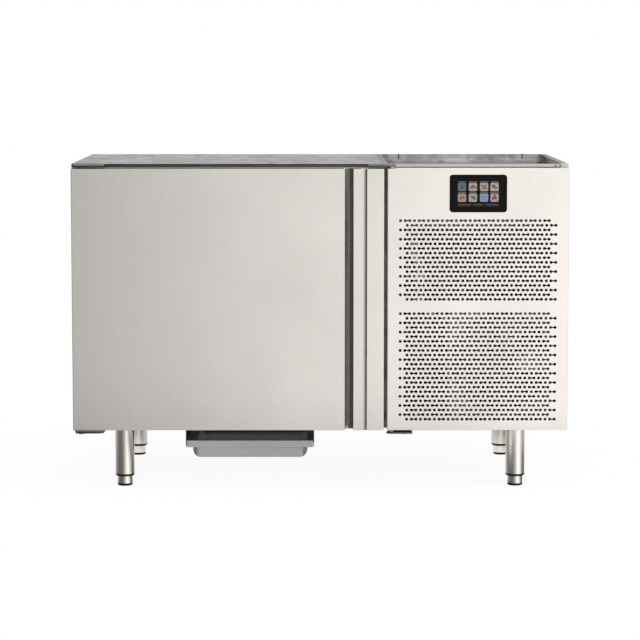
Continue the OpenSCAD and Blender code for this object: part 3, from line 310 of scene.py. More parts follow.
class ZincSpangle(SharedEffect):
    """The crystal flowers of hot-dip galvanised sheet."""

    name = "zinc_spangle"
    takes = (("Place", VECTOR, (0, 0, 0)), ("Size", FLOAT, 28.0), ("Dark", COLOUR, (0, 0, 0, 1)),
             ("Light", COLOUR, (1, 1, 1, 1)), ("Warm", COLOUR, (1, 1, 1, 1)))
    gives = (("Colour", COLOUR), ("Gloss", FLOAT), ("Height", FLOAT))

    def wire(self, sheet: NodeSheet, inputs: Any, outputs: Any) -> None:
        """Bent cells, each with its own tone, over a soft blotch."""
        bend = sheet.add("ShaderNodeTexNoise", {"Vector": inputs["Place"], "Scale": 40.0,
                                                "Detail": 2.0}).outputs[1]
        push = sheet.vectors("MULTIPLY", sheet.vectors("SUBTRACT", bend, (0.5, 0.5, 0.5)),
                             (0.02, 0.02, 0.02))
        place = sheet.vectors("ADD", inputs["Place"], push)
        cells = sheet.add("ShaderNodeTexVoronoi", {"Vector": place, "Scale": inputs["Size"]})
        small = sheet.add("ShaderNodeTexVoronoi",
                          {"Vector": place, "Scale": sheet.times(inputs["Size"], 2.7)})
        parts = sheet.add("ShaderNodeSeparateColor", {0: cells.outputs["Color"]})
        parts_small = sheet.add("ShaderNodeSeparateColor", {0: small.outputs["Color"]})
        blotch = sheet.spread(sheet.noise(inputs["Place"], 11.0, 4.0, 0.7), 0.38, 0.62, 0.0, 1.0)
        mix = sheet.maths("ADD", sheet.times(parts.outputs[0], 0.38),
                          sheet.times(parts_small.outputs[0], 0.20))
        mix = sheet.maths("ADD", mix, sheet.times(blotch, 0.42), clamp=True)
        base = sheet.blend(mix, inputs["Dark"], inputs["Light"])
        drift = sheet.noise(sheet.vectors("ADD", inputs["Place"], (3.1, 1.7, 0.4)), 7.0, 3.0, 0.6)
        warm = sheet.times(sheet.spread(drift, 0.46, 0.62, 0.0, 1.0), 0.5)
        sheet.feed(outputs["Colour"], sheet.blend(warm, base, inputs["Warm"], "MULTIPLY"))
        sheet.feed(outputs["Gloss"], parts.outputs[2])
        sheet.feed(outputs["Height"], sheet.maths("ADD", cells.outputs["Distance"],
                                                  sheet.times(parts.outputs[0], 0.3)))


class Handling(SharedEffect):
    """Soft smudges and settled dust that change the gloss and tone a little."""

    name = "handling_marks"
    takes = (("Place", VECTOR, (0, 0, 0)), ("Size", FLOAT, 5.0))
    gives = (("Smudge", FLOAT), ("Dust", FLOAT))

    def wire(self, sheet: NodeSheet, inputs: Any, outputs: Any) -> None:
        """A cloudy noise for smudges and a speckle that gathers on level faces."""
        cloud = sheet.noise(inputs["Place"], inputs["Size"], 5.0, 0.65)
        sheet.feed(outputs["Smudge"], sheet.spread(cloud, 0.35, 0.7, 0.0, 1.0))
        upward = sheet.parts(sheet.normal())[2]
        level = sheet.spread(upward, 0.5, 1.0, 0.0, 1.0)
        speck = sheet.spread(sheet.noise(inputs["Place"], 420.0, 2.0, 0.8), 0.48, 0.72, 0.0, 1.0)
        sheet.feed(outputs["Dust"], sheet.times(level, sheet.times(speck, cloud)))


class EdgeWear(SharedEffect):
    """A mask that is bright along the outer edges of a piece."""

    name = "edge_wear"
    takes = (("Place", VECTOR, (0, 0, 0)), ("Reach", FLOAT, 0.0015), ("Break", FLOAT, 60.0))
    gives = (("Mask", FLOAT), ("Rounded", VECTOR))

    def wire(self, sheet: NodeSheet, inputs: Any, outputs: Any) -> None:
        """Compares a rounded normal with the true one, and breaks the line up."""
        soft = sheet.add("ShaderNodeBevel", {"Radius": inputs["Reach"]}, samples=4).outputs[0]
        edge = sheet.spread(sheet.dot(soft, sheet.normal()), 0.995, 0.85, 0.0, 1.0)
        gaps = sheet.noise(inputs["Place"], inputs["Break"], 4.0)
        sheet.feed(outputs["Mask"], sheet.times(edge, sheet.spread(gaps, 0.4, 0.6, 0.15, 1.0)))
        sheet.feed(outputs["Rounded"], soft)


class MouldedSkin(SharedEffect):
    """The fine spark-eroded texture of moulded plastic or rubber."""

    name = "moulded_skin"
    takes = (("Place", VECTOR, (0, 0, 0)), ("Size", FLOAT, 1800.0))
    gives = (("Height", FLOAT), ("Shade", FLOAT))

    def wire(self, sheet: NodeSheet, inputs: Any, outputs: Any) -> None:
        """A small pebble pattern over a softer flow."""
        pebbles = sheet.add("ShaderNodeTexVoronoi", {"Vector": inputs["Place"],
                                                     "Scale": inputs["Size"]}).outputs["Distance"]
        flow = sheet.noise(inputs["Place"], 35.0, 4.0, 0.6)
        sheet.feed(outputs["Height"], pebbles)
        sheet.feed(outputs["Shade"], sheet.maths("ADD", sheet.times(pebbles, 0.35),
                                                 sheet.times(flow, 0.65)))


class InsideBox(SharedEffect):
    """A mask over what lies inside a box, with a level that may run along one way."""

    name = "inside_box"
    takes = (("Place", VECTOR, (0, 0, 0)), ("Middle", VECTOR, (0, 0, 0)), ("Half", VECTOR, (1, 1, 1)),
             ("Soft", FLOAT, 0.0002), ("Way", VECTOR, (0, 0, 0)), ("From", FLOAT, 1.0),
             ("Gain", FLOAT, 0.0))
    gives = (("Mask", FLOAT),)

    def wire(self, sheet: NodeSheet, inputs: Any, outputs: Any) -> None:
        """The largest distance past the box's faces, turned into a mask, times the level."""
        rel = sheet.vectors("SUBTRACT", inputs["Place"], inputs["Middle"])
        out = sheet.vectors("SUBTRACT", sheet.vectors("ABSOLUTE", rel), inputs["Half"])
        parts = sheet.parts(out)
        far = sheet.maths("MAXIMUM", sheet.maths("MAXIMUM", parts[0], parts[1]), parts[2])
        inside = sheet.maths("MULTIPLY", sheet.maths("DIVIDE", far, inputs["Soft"]), -1.0, clamp=True)
        rise = sheet.times(sheet.dot(rel, inputs["Way"]), inputs["Gain"])
        level = sheet.maths("ADD", inputs["From"], rise, clamp=True)
        sheet.feed(outputs["Mask"], sheet.times(inside, level))


class FacingWay(SharedEffect):
    """A mask over faces that are turned one way, below a height."""

    name = "facing_way"
    takes = (("Place", VECTOR, (0, 0, 0)), ("Way", VECTOR, (0, 0, 1)), ("Below", FLOAT, 9.0),
             ("Fade", FLOAT, 0.02))
    gives = (("Mask", FLOAT),)

    def wire(self, sheet: NodeSheet, inputs: Any, outputs: Any) -> None:
        """The normal against the way, times a ragged step in height."""
        turned = sheet.dot(sheet.normal(), inputs["Way"])
        high = sheet.parts(inputs["Place"])[2]
        ragged = sheet.times(sheet.noise(inputs["Place"], 45.0, 3.0, 0.6), 0.02)
        room = sheet.maths("SUBTRACT", sheet.maths("ADD", inputs["Below"], ragged), high)
        under = sheet.maths("DIVIDE", room, inputs["Fade"], clamp=True)
        sheet.feed(outputs["Mask"], sheet.times(sheet.spread(turned, 0.5, 0.8, 0.0, 1.0), under))


GRAIN = BrushedGrain()
SPANGLE = ZincSpangle()
HANDLING = Handling()
WEAR = EdgeWear()
SKIN = MouldedSkin()
INSIDE = InsideBox()
FACING = FacingWay()


# --------------------------------------------------------------------- finishes


class GrainWay(Enum):
    """Which way the brushing of a sheet runs, as lines per metre along X, Y and Z."""

    UPRIGHT = (1500.0, 1500.0, 7.0)
    LEVEL = (7.0, 1500.0, 1500.0)
    DEEP = (1500.0, 7.0, 1500.0)


@dataclass(frozen=True)
class Finish(ABC):
    """The look of one surface."""

    name: str

    def material(self) -> bpy.types.Material:
        """Builds the material, or finds it where it is built already.

        Returns:
            The material with its nodes wired.
        """
        found = bpy.data.materials.get(self.name)
        if found is not None:
            return found
        made = bpy.data.materials.new(self.name)
        made.use_nodes = True
        sheet = NodeSheet(made.node_tree)
        body = sheet.add("ShaderNodeBsdfPrincipled")
        self.wire(sheet, body)
        sheet.add("ShaderNodeOutputMaterial", {"Surface": body.outputs[0]})
        return made

    @abstractmethod
    def wire(self, sheet: NodeSheet, body: bpy.types.Node) -> None:
        """Wires the Principled shader.

        Args:
            sheet: The material's node sheet.
            body: Its Principled shader.
        """


def bump(sheet: NodeSheet, body: bpy.types.Node, height: Wire, depth: float,
         strength: float = 1.0, rounded_normal: Optional[Wire] = None) -> None:
    """Feeds a height into the shader's Normal.

    Args:
        sheet: The material's node sheet.
        body: Its Principled shader.
        height: The height, 0 to 1.
        depth: How many metres a height of 1 stands for.
        strength: How much of it counts.
        rounded_normal: The normal of the softened edges, where there is one.
    """
    node = sheet.add("ShaderNodeBump", {"Strength": strength, "Distance": depth, "Height": height})
    if rounded_normal is not None:
        sheet.feed(node.inputs["Normal"], rounded_normal)
    sheet.feed(body.inputs["Normal"], node.outputs[0])


@dataclass(frozen=True)
class Zone(ABC):
    """A part of a surface that wears another tone."""

    colour: Colour
    amount: float

    @abstractmethod
    def mask(self, sheet: NodeSheet, place: Wire) -> bpy.types.NodeSocket:
        """Where the zone lies, 0 to 1."""

    def over(self, sheet: NodeSheet, place: Wire, base: Wire) -> bpy.types.NodeSocket:
        """Lays the zone's tone over a colour.

        Args:
            sheet: The material's node sheet.
            place: The point on the object.
            base: The colour so far.

        Returns:
            The colour with the zone on it.
        """
        return sheet.layer(base, self.mask(sheet, place), self.amount, self.colour)


@dataclass(frozen=True)
class BoxZone(Zone):
    """What lies inside a box, such as a pocket painted darker for shade; its level may run along X."""

    low: Point
    high: Point
    level_from: float = 1.0
    level_to: float = 1.0

    def mask(self, sheet: NodeSheet, place: Wire) -> bpy.types.NodeSocket:
        """The box's mask, with its level from the left to the right."""
        middle = tuple((a + b) / 2 for a, b in zip(self.low, self.high))
        half = tuple((b - a) / 2 for a, b in zip(self.low, self.high))
        gain = (self.level_to - self.level_from) / (self.high[0] - self.low[0])
        return INSIDE.use(sheet, Place=place, Middle=middle, Half=half, Way=(1.0, 0.0, 0.0),
                          From=(self.level_from + self.level_to) / 2, Gain=gain)["Mask"]


@dataclass(frozen=True)
class FacingZone(Zone):
    """Faces that are turned one way, such as an inner side painted dark for shade."""

    way: Point
    below: float = 9.0

    def mask(self, sheet: NodeSheet, place: Wire) -> bpy.types.NodeSocket:
        """The mask of the faces."""
        return FACING.use(sheet, Place=place, Way=self.way, Below=self.below)["Mask"]


@dataclass(frozen=True)
class BrushedSteel(Finish):
    """Stainless sheet or tube with a belt-ground surface."""

    colour: Colour
    roughness: float = 0.34
    grain: GrainWay = GrainWay.UPRIGHT
    anisotropy: float = 0.6
    metallic: float = 1.0
    contrast: float = 0.045
    zones: tuple[Zone, ...] = ()

    def wire(self, sheet: NodeSheet, body: bpy.types.Node) -> None:
        """Grain in colour, gloss and bump, smudges in the gloss, bright worn edges."""
        place = sheet.place()
        grain = GRAIN.use(sheet, Place=place, Lines=self.grain.value, Depth=1.0)
        marks = HANDLING.use(sheet, Place=place, Size=4.0)
        edges = WEAR.use(sheet, Place=place, Reach=0.0009, Break=90.0)
        base = sheet.blend(grain["Streak"], shade(self.colour, 1.0 - self.contrast),
                           shade(self.colour, 1.0 + self.contrast))
        base = sheet.layer(base, marks["Smudge"], 0.08, shade(self.colour, 0.88))
        base = sheet.layer(base, marks["Dust"], 0.35, tone(190, 186, 180))
        base = sheet.layer(base, edges["Mask"], 0.35, shade(self.colour, 1.25))
        for zone in self.zones:
            base = zone.over(sheet, place, base)
        sheet.feed(body.inputs["Base Color"], base)
        gloss = sheet.maths("ADD", sheet.spread(grain["Streak"], 0.0, 1.0, -0.05, 0.06),
                            sheet.spread(marks["Smudge"], 0.0, 1.0, -0.02, 0.06))
        sheet.feed(body.inputs["Roughness"], sheet.maths("ADD", gloss, self.roughness, clamp=True))
        body.inputs["Metallic"].default_value = self.metallic
        body.inputs["Anisotropic"].default_value = self.anisotropy
        along = (0.02, 0.0, 1.0) if self.grain is GrainWay.UPRIGHT else (1.0, 0.0, 0.02)
        sheet.feed(body.inputs["Tangent"], sheet.vectors("CROSS_PRODUCT", along, sheet.normal()))
        bump(sheet, body, grain["Height"], 0.00002, 0.35, edges["Rounded"])


@dataclass(frozen=True)
class Galvanised(Finish):
    """Hot-dip galvanised sheet with its spangle."""

    dark: Colour
    light: Colour
    warm: Colour
    size: float = 30.0
    roughness: float = 0.42
    zones: tuple[Zone, ...] = ()

    def wire(self, sheet: NodeSheet, body: bpy.types.Node) -> None:
        """Spangle in colour and gloss, dust on level faces, white rust at the edges."""
        place = sheet.place()
        zinc = SPANGLE.use(sheet, Place=place, Size=self.size, Dark=self.dark, Light=self.light,
                           Warm=self.warm)
        marks = HANDLING.use(sheet, Place=place, Size=7.0)
        edges = WEAR.use(sheet, Place=place, Reach=0.0008, Break=120.0)
        base = sheet.layer(zinc["Colour"], marks["Smudge"], 0.16, shade(self.dark, 0.8))
        base = sheet.layer(base, marks["Dust"], 0.25, tone(166, 162, 155))
        base = sheet.layer(base, edges["Mask"], 0.5, self.light)
        for zone in self.zones:
            base = zone.over(sheet, place, base)
        sheet.feed(body.inputs["Base Color"], base)
        gloss = sheet.maths("ADD", sheet.spread(zinc["Gloss"], 0.0, 1.0, -0.10, 0.10),
                            sheet.spread(marks["Dust"], 0.0, 1.0, 0.0, 0.2))
        sheet.feed(body.inputs["Roughness"], sheet.maths("ADD", gloss, self.roughness, clamp=True))
        body.inputs["Metallic"].default_value = 0.85
        bump(sheet, body, zinc["Height"], 0.00012, 0.3, edges["Rounded"])


@dataclass(frozen=True)
class Moulded(Finish):
    """Moulded plastic or rubber with a fine texture."""

    colour: Colour
    roughness: float = 0.5
    size: float = 1800.0
    depth: float = 0.00003
    specular: float = 0.5
    dust: float = 0.35

    def wire(self, sheet: NodeSheet, body: bpy.types.Node) -> None:
        """Texture in the bump, flow in the tone, dust on top and scuffed edges."""
        place = sheet.place()
        skin = SKIN.use(sheet, Place=place, Size=self.size)
        marks = HANDLING.use(sheet, Place=place, Size=14.0)
        worn = WEAR.use(sheet, Place=place, Reach=0.0008, Break=150.0)["Mask"]
        base = sheet.blend(skin["Shade"], shade(self.colour, 0.82), shade(self.colour, 1.15))
        base = sheet.layer(base, marks["Dust"], self.dust, tone(150, 146, 140))
        base = sheet.layer(base, worn, 0.3, shade(self.colour, 1.6, 0.02))
        sheet.feed(body.inputs["Base Color"], base)
        sheet.feed(body.inputs["Roughness"],
                   sheet.spread(marks["Smudge"], 0.0, 1.0, self.roughness - 0.06,
                                self.roughness + 0.08))
        body.inputs["Specular IOR Level"].default_value = self.specular
        bump(sheet, body, skin["Height"], self.depth, 0.5)


@dataclass(frozen=True)
class Enamel(Finish):
    """Sprayed enamel with orange peel, chipped to metal at its edges."""

    colour: Colour
    chip: Colour
    roughness: float = 0.32
    chips: float = 0.5

    def wire(self, sheet: NodeSheet, body: bpy.types.Node) -> None:
        """Orange peel in the bump, dust and smudges, chips along the edges."""
        place = sheet.place()
        peel = sheet.noise(place, 260.0, 2.0, 0.5)
        marks = HANDLING.use(sheet, Place=place, Size=9.0)
        worn = WEAR.use(sheet, Place=place, Reach=0.0015, Break=70.0)["Mask"]
        chipped = sheet.times(worn, self.chips)
        base = sheet.blend(sheet.noise(place, 12.0, 3.0, 0.6), shade(self.colour, 0.8),
                           shade(self.colour, 1.2, 0.004))
        base = sheet.layer(base, marks["Dust"], 0.45, tone(158, 152, 144))
        base = sheet.blend(chipped, base, self.chip)
        sheet.feed(body.inputs["Base Color"], base)
        rough = sheet.maths("ADD", sheet.spread(marks["Smudge"], 0.0, 1.0, -0.05, 0.12),
                            self.roughness)
        sheet.feed(body.inputs["Roughness"],
                   sheet.maths("ADD", rough, sheet.times(marks["Dust"], 0.25), clamp=True))
        sheet.feed(body.inputs["Metallic"], sheet.times(chipped, 0.9))
        bump(sheet, body, peel, 0.00008, 0.25)


@dataclass(frozen=True)
class BareMetal(Finish):
    """Drawn or cast metal with patches of tarnish."""

    colour: Colour
    tarnish: Colour
    roughness: float = 0.3
    patch: float = 22.0
    tarnished: float = 0.6

    def wire(self, sheet: NodeSheet, body: bpy.types.Node) -> None:
        """Tarnish patches in colour and gloss, fine draw lines, polished edges."""
        place = sheet.place()
        cloud = sheet.noise(place, self.patch, 5.0, 0.65)
        patch = sheet.times(sheet.spread(cloud, 0.42, 0.66, 0.0, 1.0), self.tarnished)
        marks = HANDLING.use(sheet, Place=place, Size=12.0)
        worn = WEAR.use(sheet, Place=place, Reach=0.0007, Break=140.0)["Mask"]
        base = sheet.blend(patch, self.colour, self.tarnish)
        base = sheet.layer(base, marks["Dust"], 0.3, tone(150, 142, 132))
        base = sheet.layer(base, worn, 0.4, shade(self.colour, 1.2))
        sheet.feed(body.inputs["Base Color"], base)
        rough = sheet.maths("ADD", sheet.times(patch, 0.28), self.roughness)
        sheet.feed(body.inputs["Roughness"], sheet.maths("ADD", rough, sheet.spread(
            marks["Smudge"], 0.0, 1.0, -0.04, 0.06), clamp=True))
        body.inputs["Metallic"].default_value = 1.0
        bump(sheet, body, sheet.noise(place, 900.0, 3.0, 0.6), 0.00002, 0.3)


@dataclass(frozen=True)
class RigidFoam(Finish):
    """Polyurethane foam with small cells and skin of uneven tone."""

    colour: Colour

    def wire(self, sheet: NodeSheet, body: bpy.types.Node) -> None:
        """Cells in the bump, yellowing in the tone."""
        place = sheet.place()
        cells = sheet.add("ShaderNodeTexVoronoi", {"Vector": place, "Scale": 650.0})
        age = sheet.spread(sheet.noise(place, 5.0, 4.0, 0.6), 0.35, 0.7, 0.0, 1.0)
        base = sheet.blend(age, self.colour, tuple(c * f for c, f in zip(self.colour,
                                                                         (0.86, 0.74, 0.5))))
        pit = sheet.spread(cells.outputs["Distance"], 0.0, 0.5, 0.0, 0.35)
        sheet.feed(body.inputs["Base Color"], sheet.blend(pit, base, (0.32, 0.24, 0.1)))
        sheet.feed(body.inputs["Roughness"], sheet.spread(age, 0.0, 1.0, 0.82, 0.95))
        bump(sheet, body, cells.outputs["Distance"], 0.0003, 0.6)


@dataclass(frozen=True)
class BlackGlass(Finish):
    """Back-painted glass with a hard gloss and faint finger marks."""

    colour: Colour

    def wire(self, sheet: NodeSheet, body: bpy.types.Node) -> None:
        """A nearly black pane whose gloss is dulled where fingers touch it."""
        place = sheet.place()
        marks = HANDLING.use(sheet, Place=place, Size=55.0)
        paint = sheet.noise(sheet.vectors("MULTIPLY", place, (900.0, 900.0, 900.0)), 1.0)
        sheet.feed(body.inputs["Base Color"],
                   sheet.blend(paint, shade(self.colour, 0.7), shade(self.colour, 1.3)))
        sheet.feed(body.inputs["Roughness"], sheet.spread(marks["Smudge"], 0.0, 1.0, 0.05, 0.17))
        body.inputs["Specular IOR Level"].default_value = 0.07
        bump(sheet, body, sheet.noise(place, 12.0, 2.0, 0.5), 0.0001, 0.05)


@dataclass(frozen=True)
class LitPicture(Finish):
    """A part of the screen's picture, seen through the glass."""

    first: Colour
    second: Colour
    spots: float = 180.0
    strength: float = 1.0

    def wire(self, sheet: NodeSheet, body: bpy.types.Node) -> None:
        """Two tones in soft spots, lit from behind, under a glossy layer."""
        place = sheet.place()
        share = sheet.spread(sheet.noise(place, self.spots, 3.0, 0.6), 0.35, 0.65, 0.0, 1.0)
        dots = sheet.noise(place, 2600.0, 1.0, 0.5)
        shown = sheet.blend(share, self.first, self.second)
        shown = sheet.blend(sheet.spread(dots, 0.4, 0.6, 0.0, 0.12), shown, (0.0, 0.0, 0.0))
        sheet.feed(body.inputs["Emission Color"], shown)
        body.inputs["Emission Strength"].default_value = self.strength
        sheet.feed(body.inputs["Base Color"], sheet.blend(share, (0.004, 0.004, 0.004),
                                                          (0.007, 0.007, 0.008)))
        sheet.feed(body.inputs["Roughness"], sheet.spread(dots, 0.0, 1.0, 0.1, 0.2))
        body.inputs["Specular IOR Level"].default_value = 0.07


@dataclass(frozen=True)
class CircuitBoard(Finish):
    """Green lacquered board with tracks and solder pads."""

    colour: Colour

    def wire(self, sheet: NodeSheet, body: bpy.types.Node) -> None:
        """Tracks from a stepped pattern, pads from small cells."""
        place = sheet.place()
        track = sheet.add("ShaderNodeTexBrick", {
            "Vector": place, "Scale": 60.0, "Color1": self.colour,
            "Color2": shade(self.colour, 1.25), "Mortar": shade(self.colour, 1.9),
            "Mortar Size": 0.03})
        pads = sheet.add("ShaderNodeTexVoronoi", {"Vector": place, "Scale": 300.0}).outputs[0]
        pad = sheet.spread(pads, 0.16, 0.12, 0.0, 1.0)
        sheet.feed(body.inputs["Base Color"], sheet.blend(pad, track.outputs[0], tone(190, 186, 170)))
        sheet.feed(body.inputs["Metallic"], sheet.times(pad, 0.8))
        sheet.feed(body.inputs["Roughness"], sheet.spread(pads, 0.0, 0.5, 0.28, 0.42))
        bump(sheet, body, track.outputs["Fac"], 0.00005, 0.4)


class Palette:
    """Every finish of the cabinet, by the part of it that wears it."""

    # Painted shade: the dark tone laid over the cabinet's underside and the tray's inside, where shade
    # falls.
    painted_under_shade = tone(60, 57, 54)
    # Painted shade: the near-black laid over the inner sides of the machine compartment, where its inside
    # lies in shade.
    painted_inner_shade = tone(26, 26, 27)
    door_steel = BrushedSteel("brushed_door_steel", tone(243, 238, 232), roughness=0.29,
                              anisotropy=0.95)
    grip_steel = BrushedSteel("brushed_grip_steel", tone(243, 238, 232), roughness=0.29,
                              anisotropy=0.95, zones=(
        # Painted shade in the grip: the pocket is painted darker towards its deep side, and the rounded
        # edge next to it is painted darker too.
        BoxZone(tone(100, 93, 87), 1.0, (0.0606, -0.3479, 0.10), (0.1046, -0.3000, 0.90), -0.4, 4.0),
        BoxZone(tone(178, 171, 165), 1.0, (0.1046, -0.3490, 0.10), (0.1180, -0.3100, 0.90), -0.3, 2.4)))
    # The panel's steel is the door's steel painted a little lighter, a lit copy standing in for the
    # brighter light on the panel.
    panel_steel = BrushedSteel("brushed_panel_steel", tone(250, 245, 238), roughness=0.30,
                               anisotropy=0.95)
    # Painted shade: faces that look down are painted dark, for the shade under the cabinet.
    body_steel = BrushedSteel("brushed_body_steel", tone(208, 204, 199), roughness=0.36, zones=(
        FacingZone(painted_under_shade, 0.8, (0.0, 0.0, -1.0)),))
    rim_steel = BrushedSteel("brushed_rim_steel", tone(204, 200, 196), roughness=0.36,
                             grain=GrainWay.LEVEL)
    # Painted shade: the inner side below 0.70 m is painted near-black for the shade inside the
    # compartment, and a band along the top edge is painted darker.
    side_steel = BrushedSteel("brushed_side_steel", tone(208, 204, 199), roughness=0.36, zones=(
        FacingZone(painted_inner_shade, 0.95, (-1.0, 0.0, 0.0), 0.70),
        BoxZone(tone(112, 110, 107), 0.85, (0.6048, -0.2500, 0.8190), (0.6252, 0.3490, 0.8204))))
    liner_steel = BrushedSteel("bright_liner_steel", tone(212, 211, 208), roughness=0.22,
                               anisotropy=0.3, contrast=0.03)
    tube_steel = BrushedSteel("brushed_leg_steel", tone(246, 240, 231), roughness=0.19,
                              anisotropy=0.5, contrast=0.06)
    rack_steel = BrushedSteel("rack_steel", tone(200, 198, 194), roughness=0.28,
                              grain=GrainWay.DEEP, anisotropy=0.4)
    rail_steel = BrushedSteel("dark_rail_steel", tone(84, 83, 81), roughness=0.4,
                              grain=GrainWay.DEEP, anisotropy=0.4)
    screw_steel = BrushedSteel("screw_steel", tone(176, 173, 168), roughness=0.3,
                               anisotropy=0.0, contrast=0.04)
    # Painted shade: the fold that faces the front is painted dark, for the shade in the gap above the
    # door.
    galvanised = Galvanised("galvanised_top_sheet", tone(90, 91, 95), tone(182, 182, 184),
                            tone(228, 210, 200), zones=(
                                FacingZone(tone(84, 82, 80), 0.9, (0.0, -1.0, 0.0)),))
    # Painted shade: a darker copy of the galvanised sheet, with its inner side below 0.68 m painted
    # near-black and its upward faces painted darker, for the shade inside the compartment.
    divider_sheet = Galvanised("galvanised_divider_sheet", tone(92, 94, 98), tone(150, 151, 154),
                               tone(236, 226, 218), zones=(
                                   FacingZone(painted_inner_shade, 0.95, (1.0, 0.0, 0.0), 0.68),
                                   FacingZone(tone(82, 82, 85), 0.7, (0.0, 0.0, 1.0))))
    pan_sheet = Galvanised("galvanised_pan_sheet", tone(100, 102, 106), tone(158, 160, 163),
                           tone(232, 222, 212))
    # Painted shade: the inner side below 0.70 m is painted near-black, for the shade inside the
    # compartment.
    back_sheet = Galvanised("galvanised_back_sheet", tone(146, 148, 156), tone(236, 236, 240),
                            tone(236, 218, 206), zones=(
                                FacingZone(painted_inner_shade, 0.96, (0.0, -1.0, 0.0), 0.70),))
    zinc_plate = BareMetal("zinc_plated_steel", tone(158, 158, 160), tone(120, 118, 116), 0.34)
    dark_zinc = BareMetal("dark_zinc_bracket", tone(112, 111, 110), tone(74, 72, 70), 0.4)
    foam = RigidFoam("rigid_foam", tone(236, 222, 168))
    grey_frame = Moulded("grey_frame_plastic", tone(178, 180, 182), 0.5)
    white_pipe = Moulded("white_pipe_plastic", tone(222, 223, 222), 0.42)
    black_plastic = Moulded("black_moulded_plastic", tone(24, 24, 25), 0.42, specular=0.25)
    bush_plastic = Moulded("ivory_bush_plastic", tone(224, 219, 205), 0.4)
    bezel = Moulded("black_bezel_plastic", tone(12, 12, 13), 0.42, size=2600.0, depth=0.00001,
                    specular=0.05, dust=0.04)
    glass = BlackGlass("back_painted_glass", tone(13, 13, 14))
    board = CircuitBoard("circuit_board", tone(28, 60, 46))
    seal = Moulded("soft_seal_rubber", tone(92, 94, 96), 0.62, size=900.0)
    rubber = Moulded("dark_foot_rubber", tone(20, 20, 20), 0.7, size=1300.0, depth=0.00006,
                     specular=0.2, dust=0.15)
    compressor = Enamel("black_compressor_enamel", tone(24, 24, 26), tone(120, 116, 112), 0.26, 0.25)
    vessel = Enamel("dark_vessel_paint", tone(34, 36, 44), tone(130, 122, 112), 0.34, 0.3)
    box_paint = Enamel("grey_box_paint", tone(84, 86, 90), tone(150, 148, 146), 0.42, 0.4)
    drier = Enamel("dark_blue_drier_paint", tone(26, 32, 56), tone(120, 92, 74), 0.34, 0.2)
    copper = BareMetal("copper_pipe", tone(134, 84, 62), tone(74, 50, 40), 0.36, tarnished=0.85)
    lagging = Moulded("pipe_lagging_foam", tone(24, 24, 25), 0.86, size=700.0, depth=0.00025,
                      specular=0.1)
    tie = Moulded("nylon_tie", tone(214, 212, 204), 0.4)
    white_wire = Moulded("white_wire_sleeve", tone(206, 205, 200), 0.4)
    black_wire = Moulded("black_wire_sleeve", tone(26, 26, 27), 0.45)
    earth_wire = Moulded("green_yellow_wire_sleeve", tone(122, 126, 72), 0.4)
    splice = Moulded("orange_splice_sleeve", tone(172, 98, 60), 0.36)
    chip = Moulded("chip_housing_plastic", tone(30, 30, 32), 0.4, size=2200.0)
    solder = BareMetal("tinned_solder", tone(186, 186, 186), tone(140, 138, 136), 0.3)
    can = Enamel("dark_blue_can_lacquer", tone(34, 36, 74), tone(140, 136, 130), 0.3, 0.3)
    brass = BareMetal("brass_bush", tone(198, 174, 152), tone(140, 110, 88), 0.3, tarnished=0.35)
    fins = BareMetal("aluminium_fins", tone(176, 178, 182), tone(120, 122, 126), 0.36, patch=9.0,
                     tarnished=0.5)
    fan_black = Moulded("fan_blade_plastic", tone(40, 42, 44), 0.46, size=1200.0)
    fan_steel = BareMetal("fan_wheel_aluminium", tone(150, 153, 158), tone(110, 112, 116), 0.36)
    wire = BareMetal("plated_guard_wire", tone(188, 190, 194), tone(132, 132, 134), 0.24,
                     tarnished=0.3)
    magnet = BareMetal("magnet_ferrite", tone(58, 56, 56), tone(40, 38, 38), 0.52, tarnished=0.5)
    # Painted shade: the tray's inside is painted darker, for the shade under the cabinet.
    tray_steel = BrushedSteel("pressed_tray_steel", tone(208, 208, 208), roughness=0.5,
                              grain=GrainWay.LEVEL, anisotropy=0.2, metallic=0.4, zones=(
                                  BoxZone(painted_under_shade, 0.5, (-0.3325, -0.1628, 0.0540),
                                          (-0.0289, 0.3058, 0.1004)),))


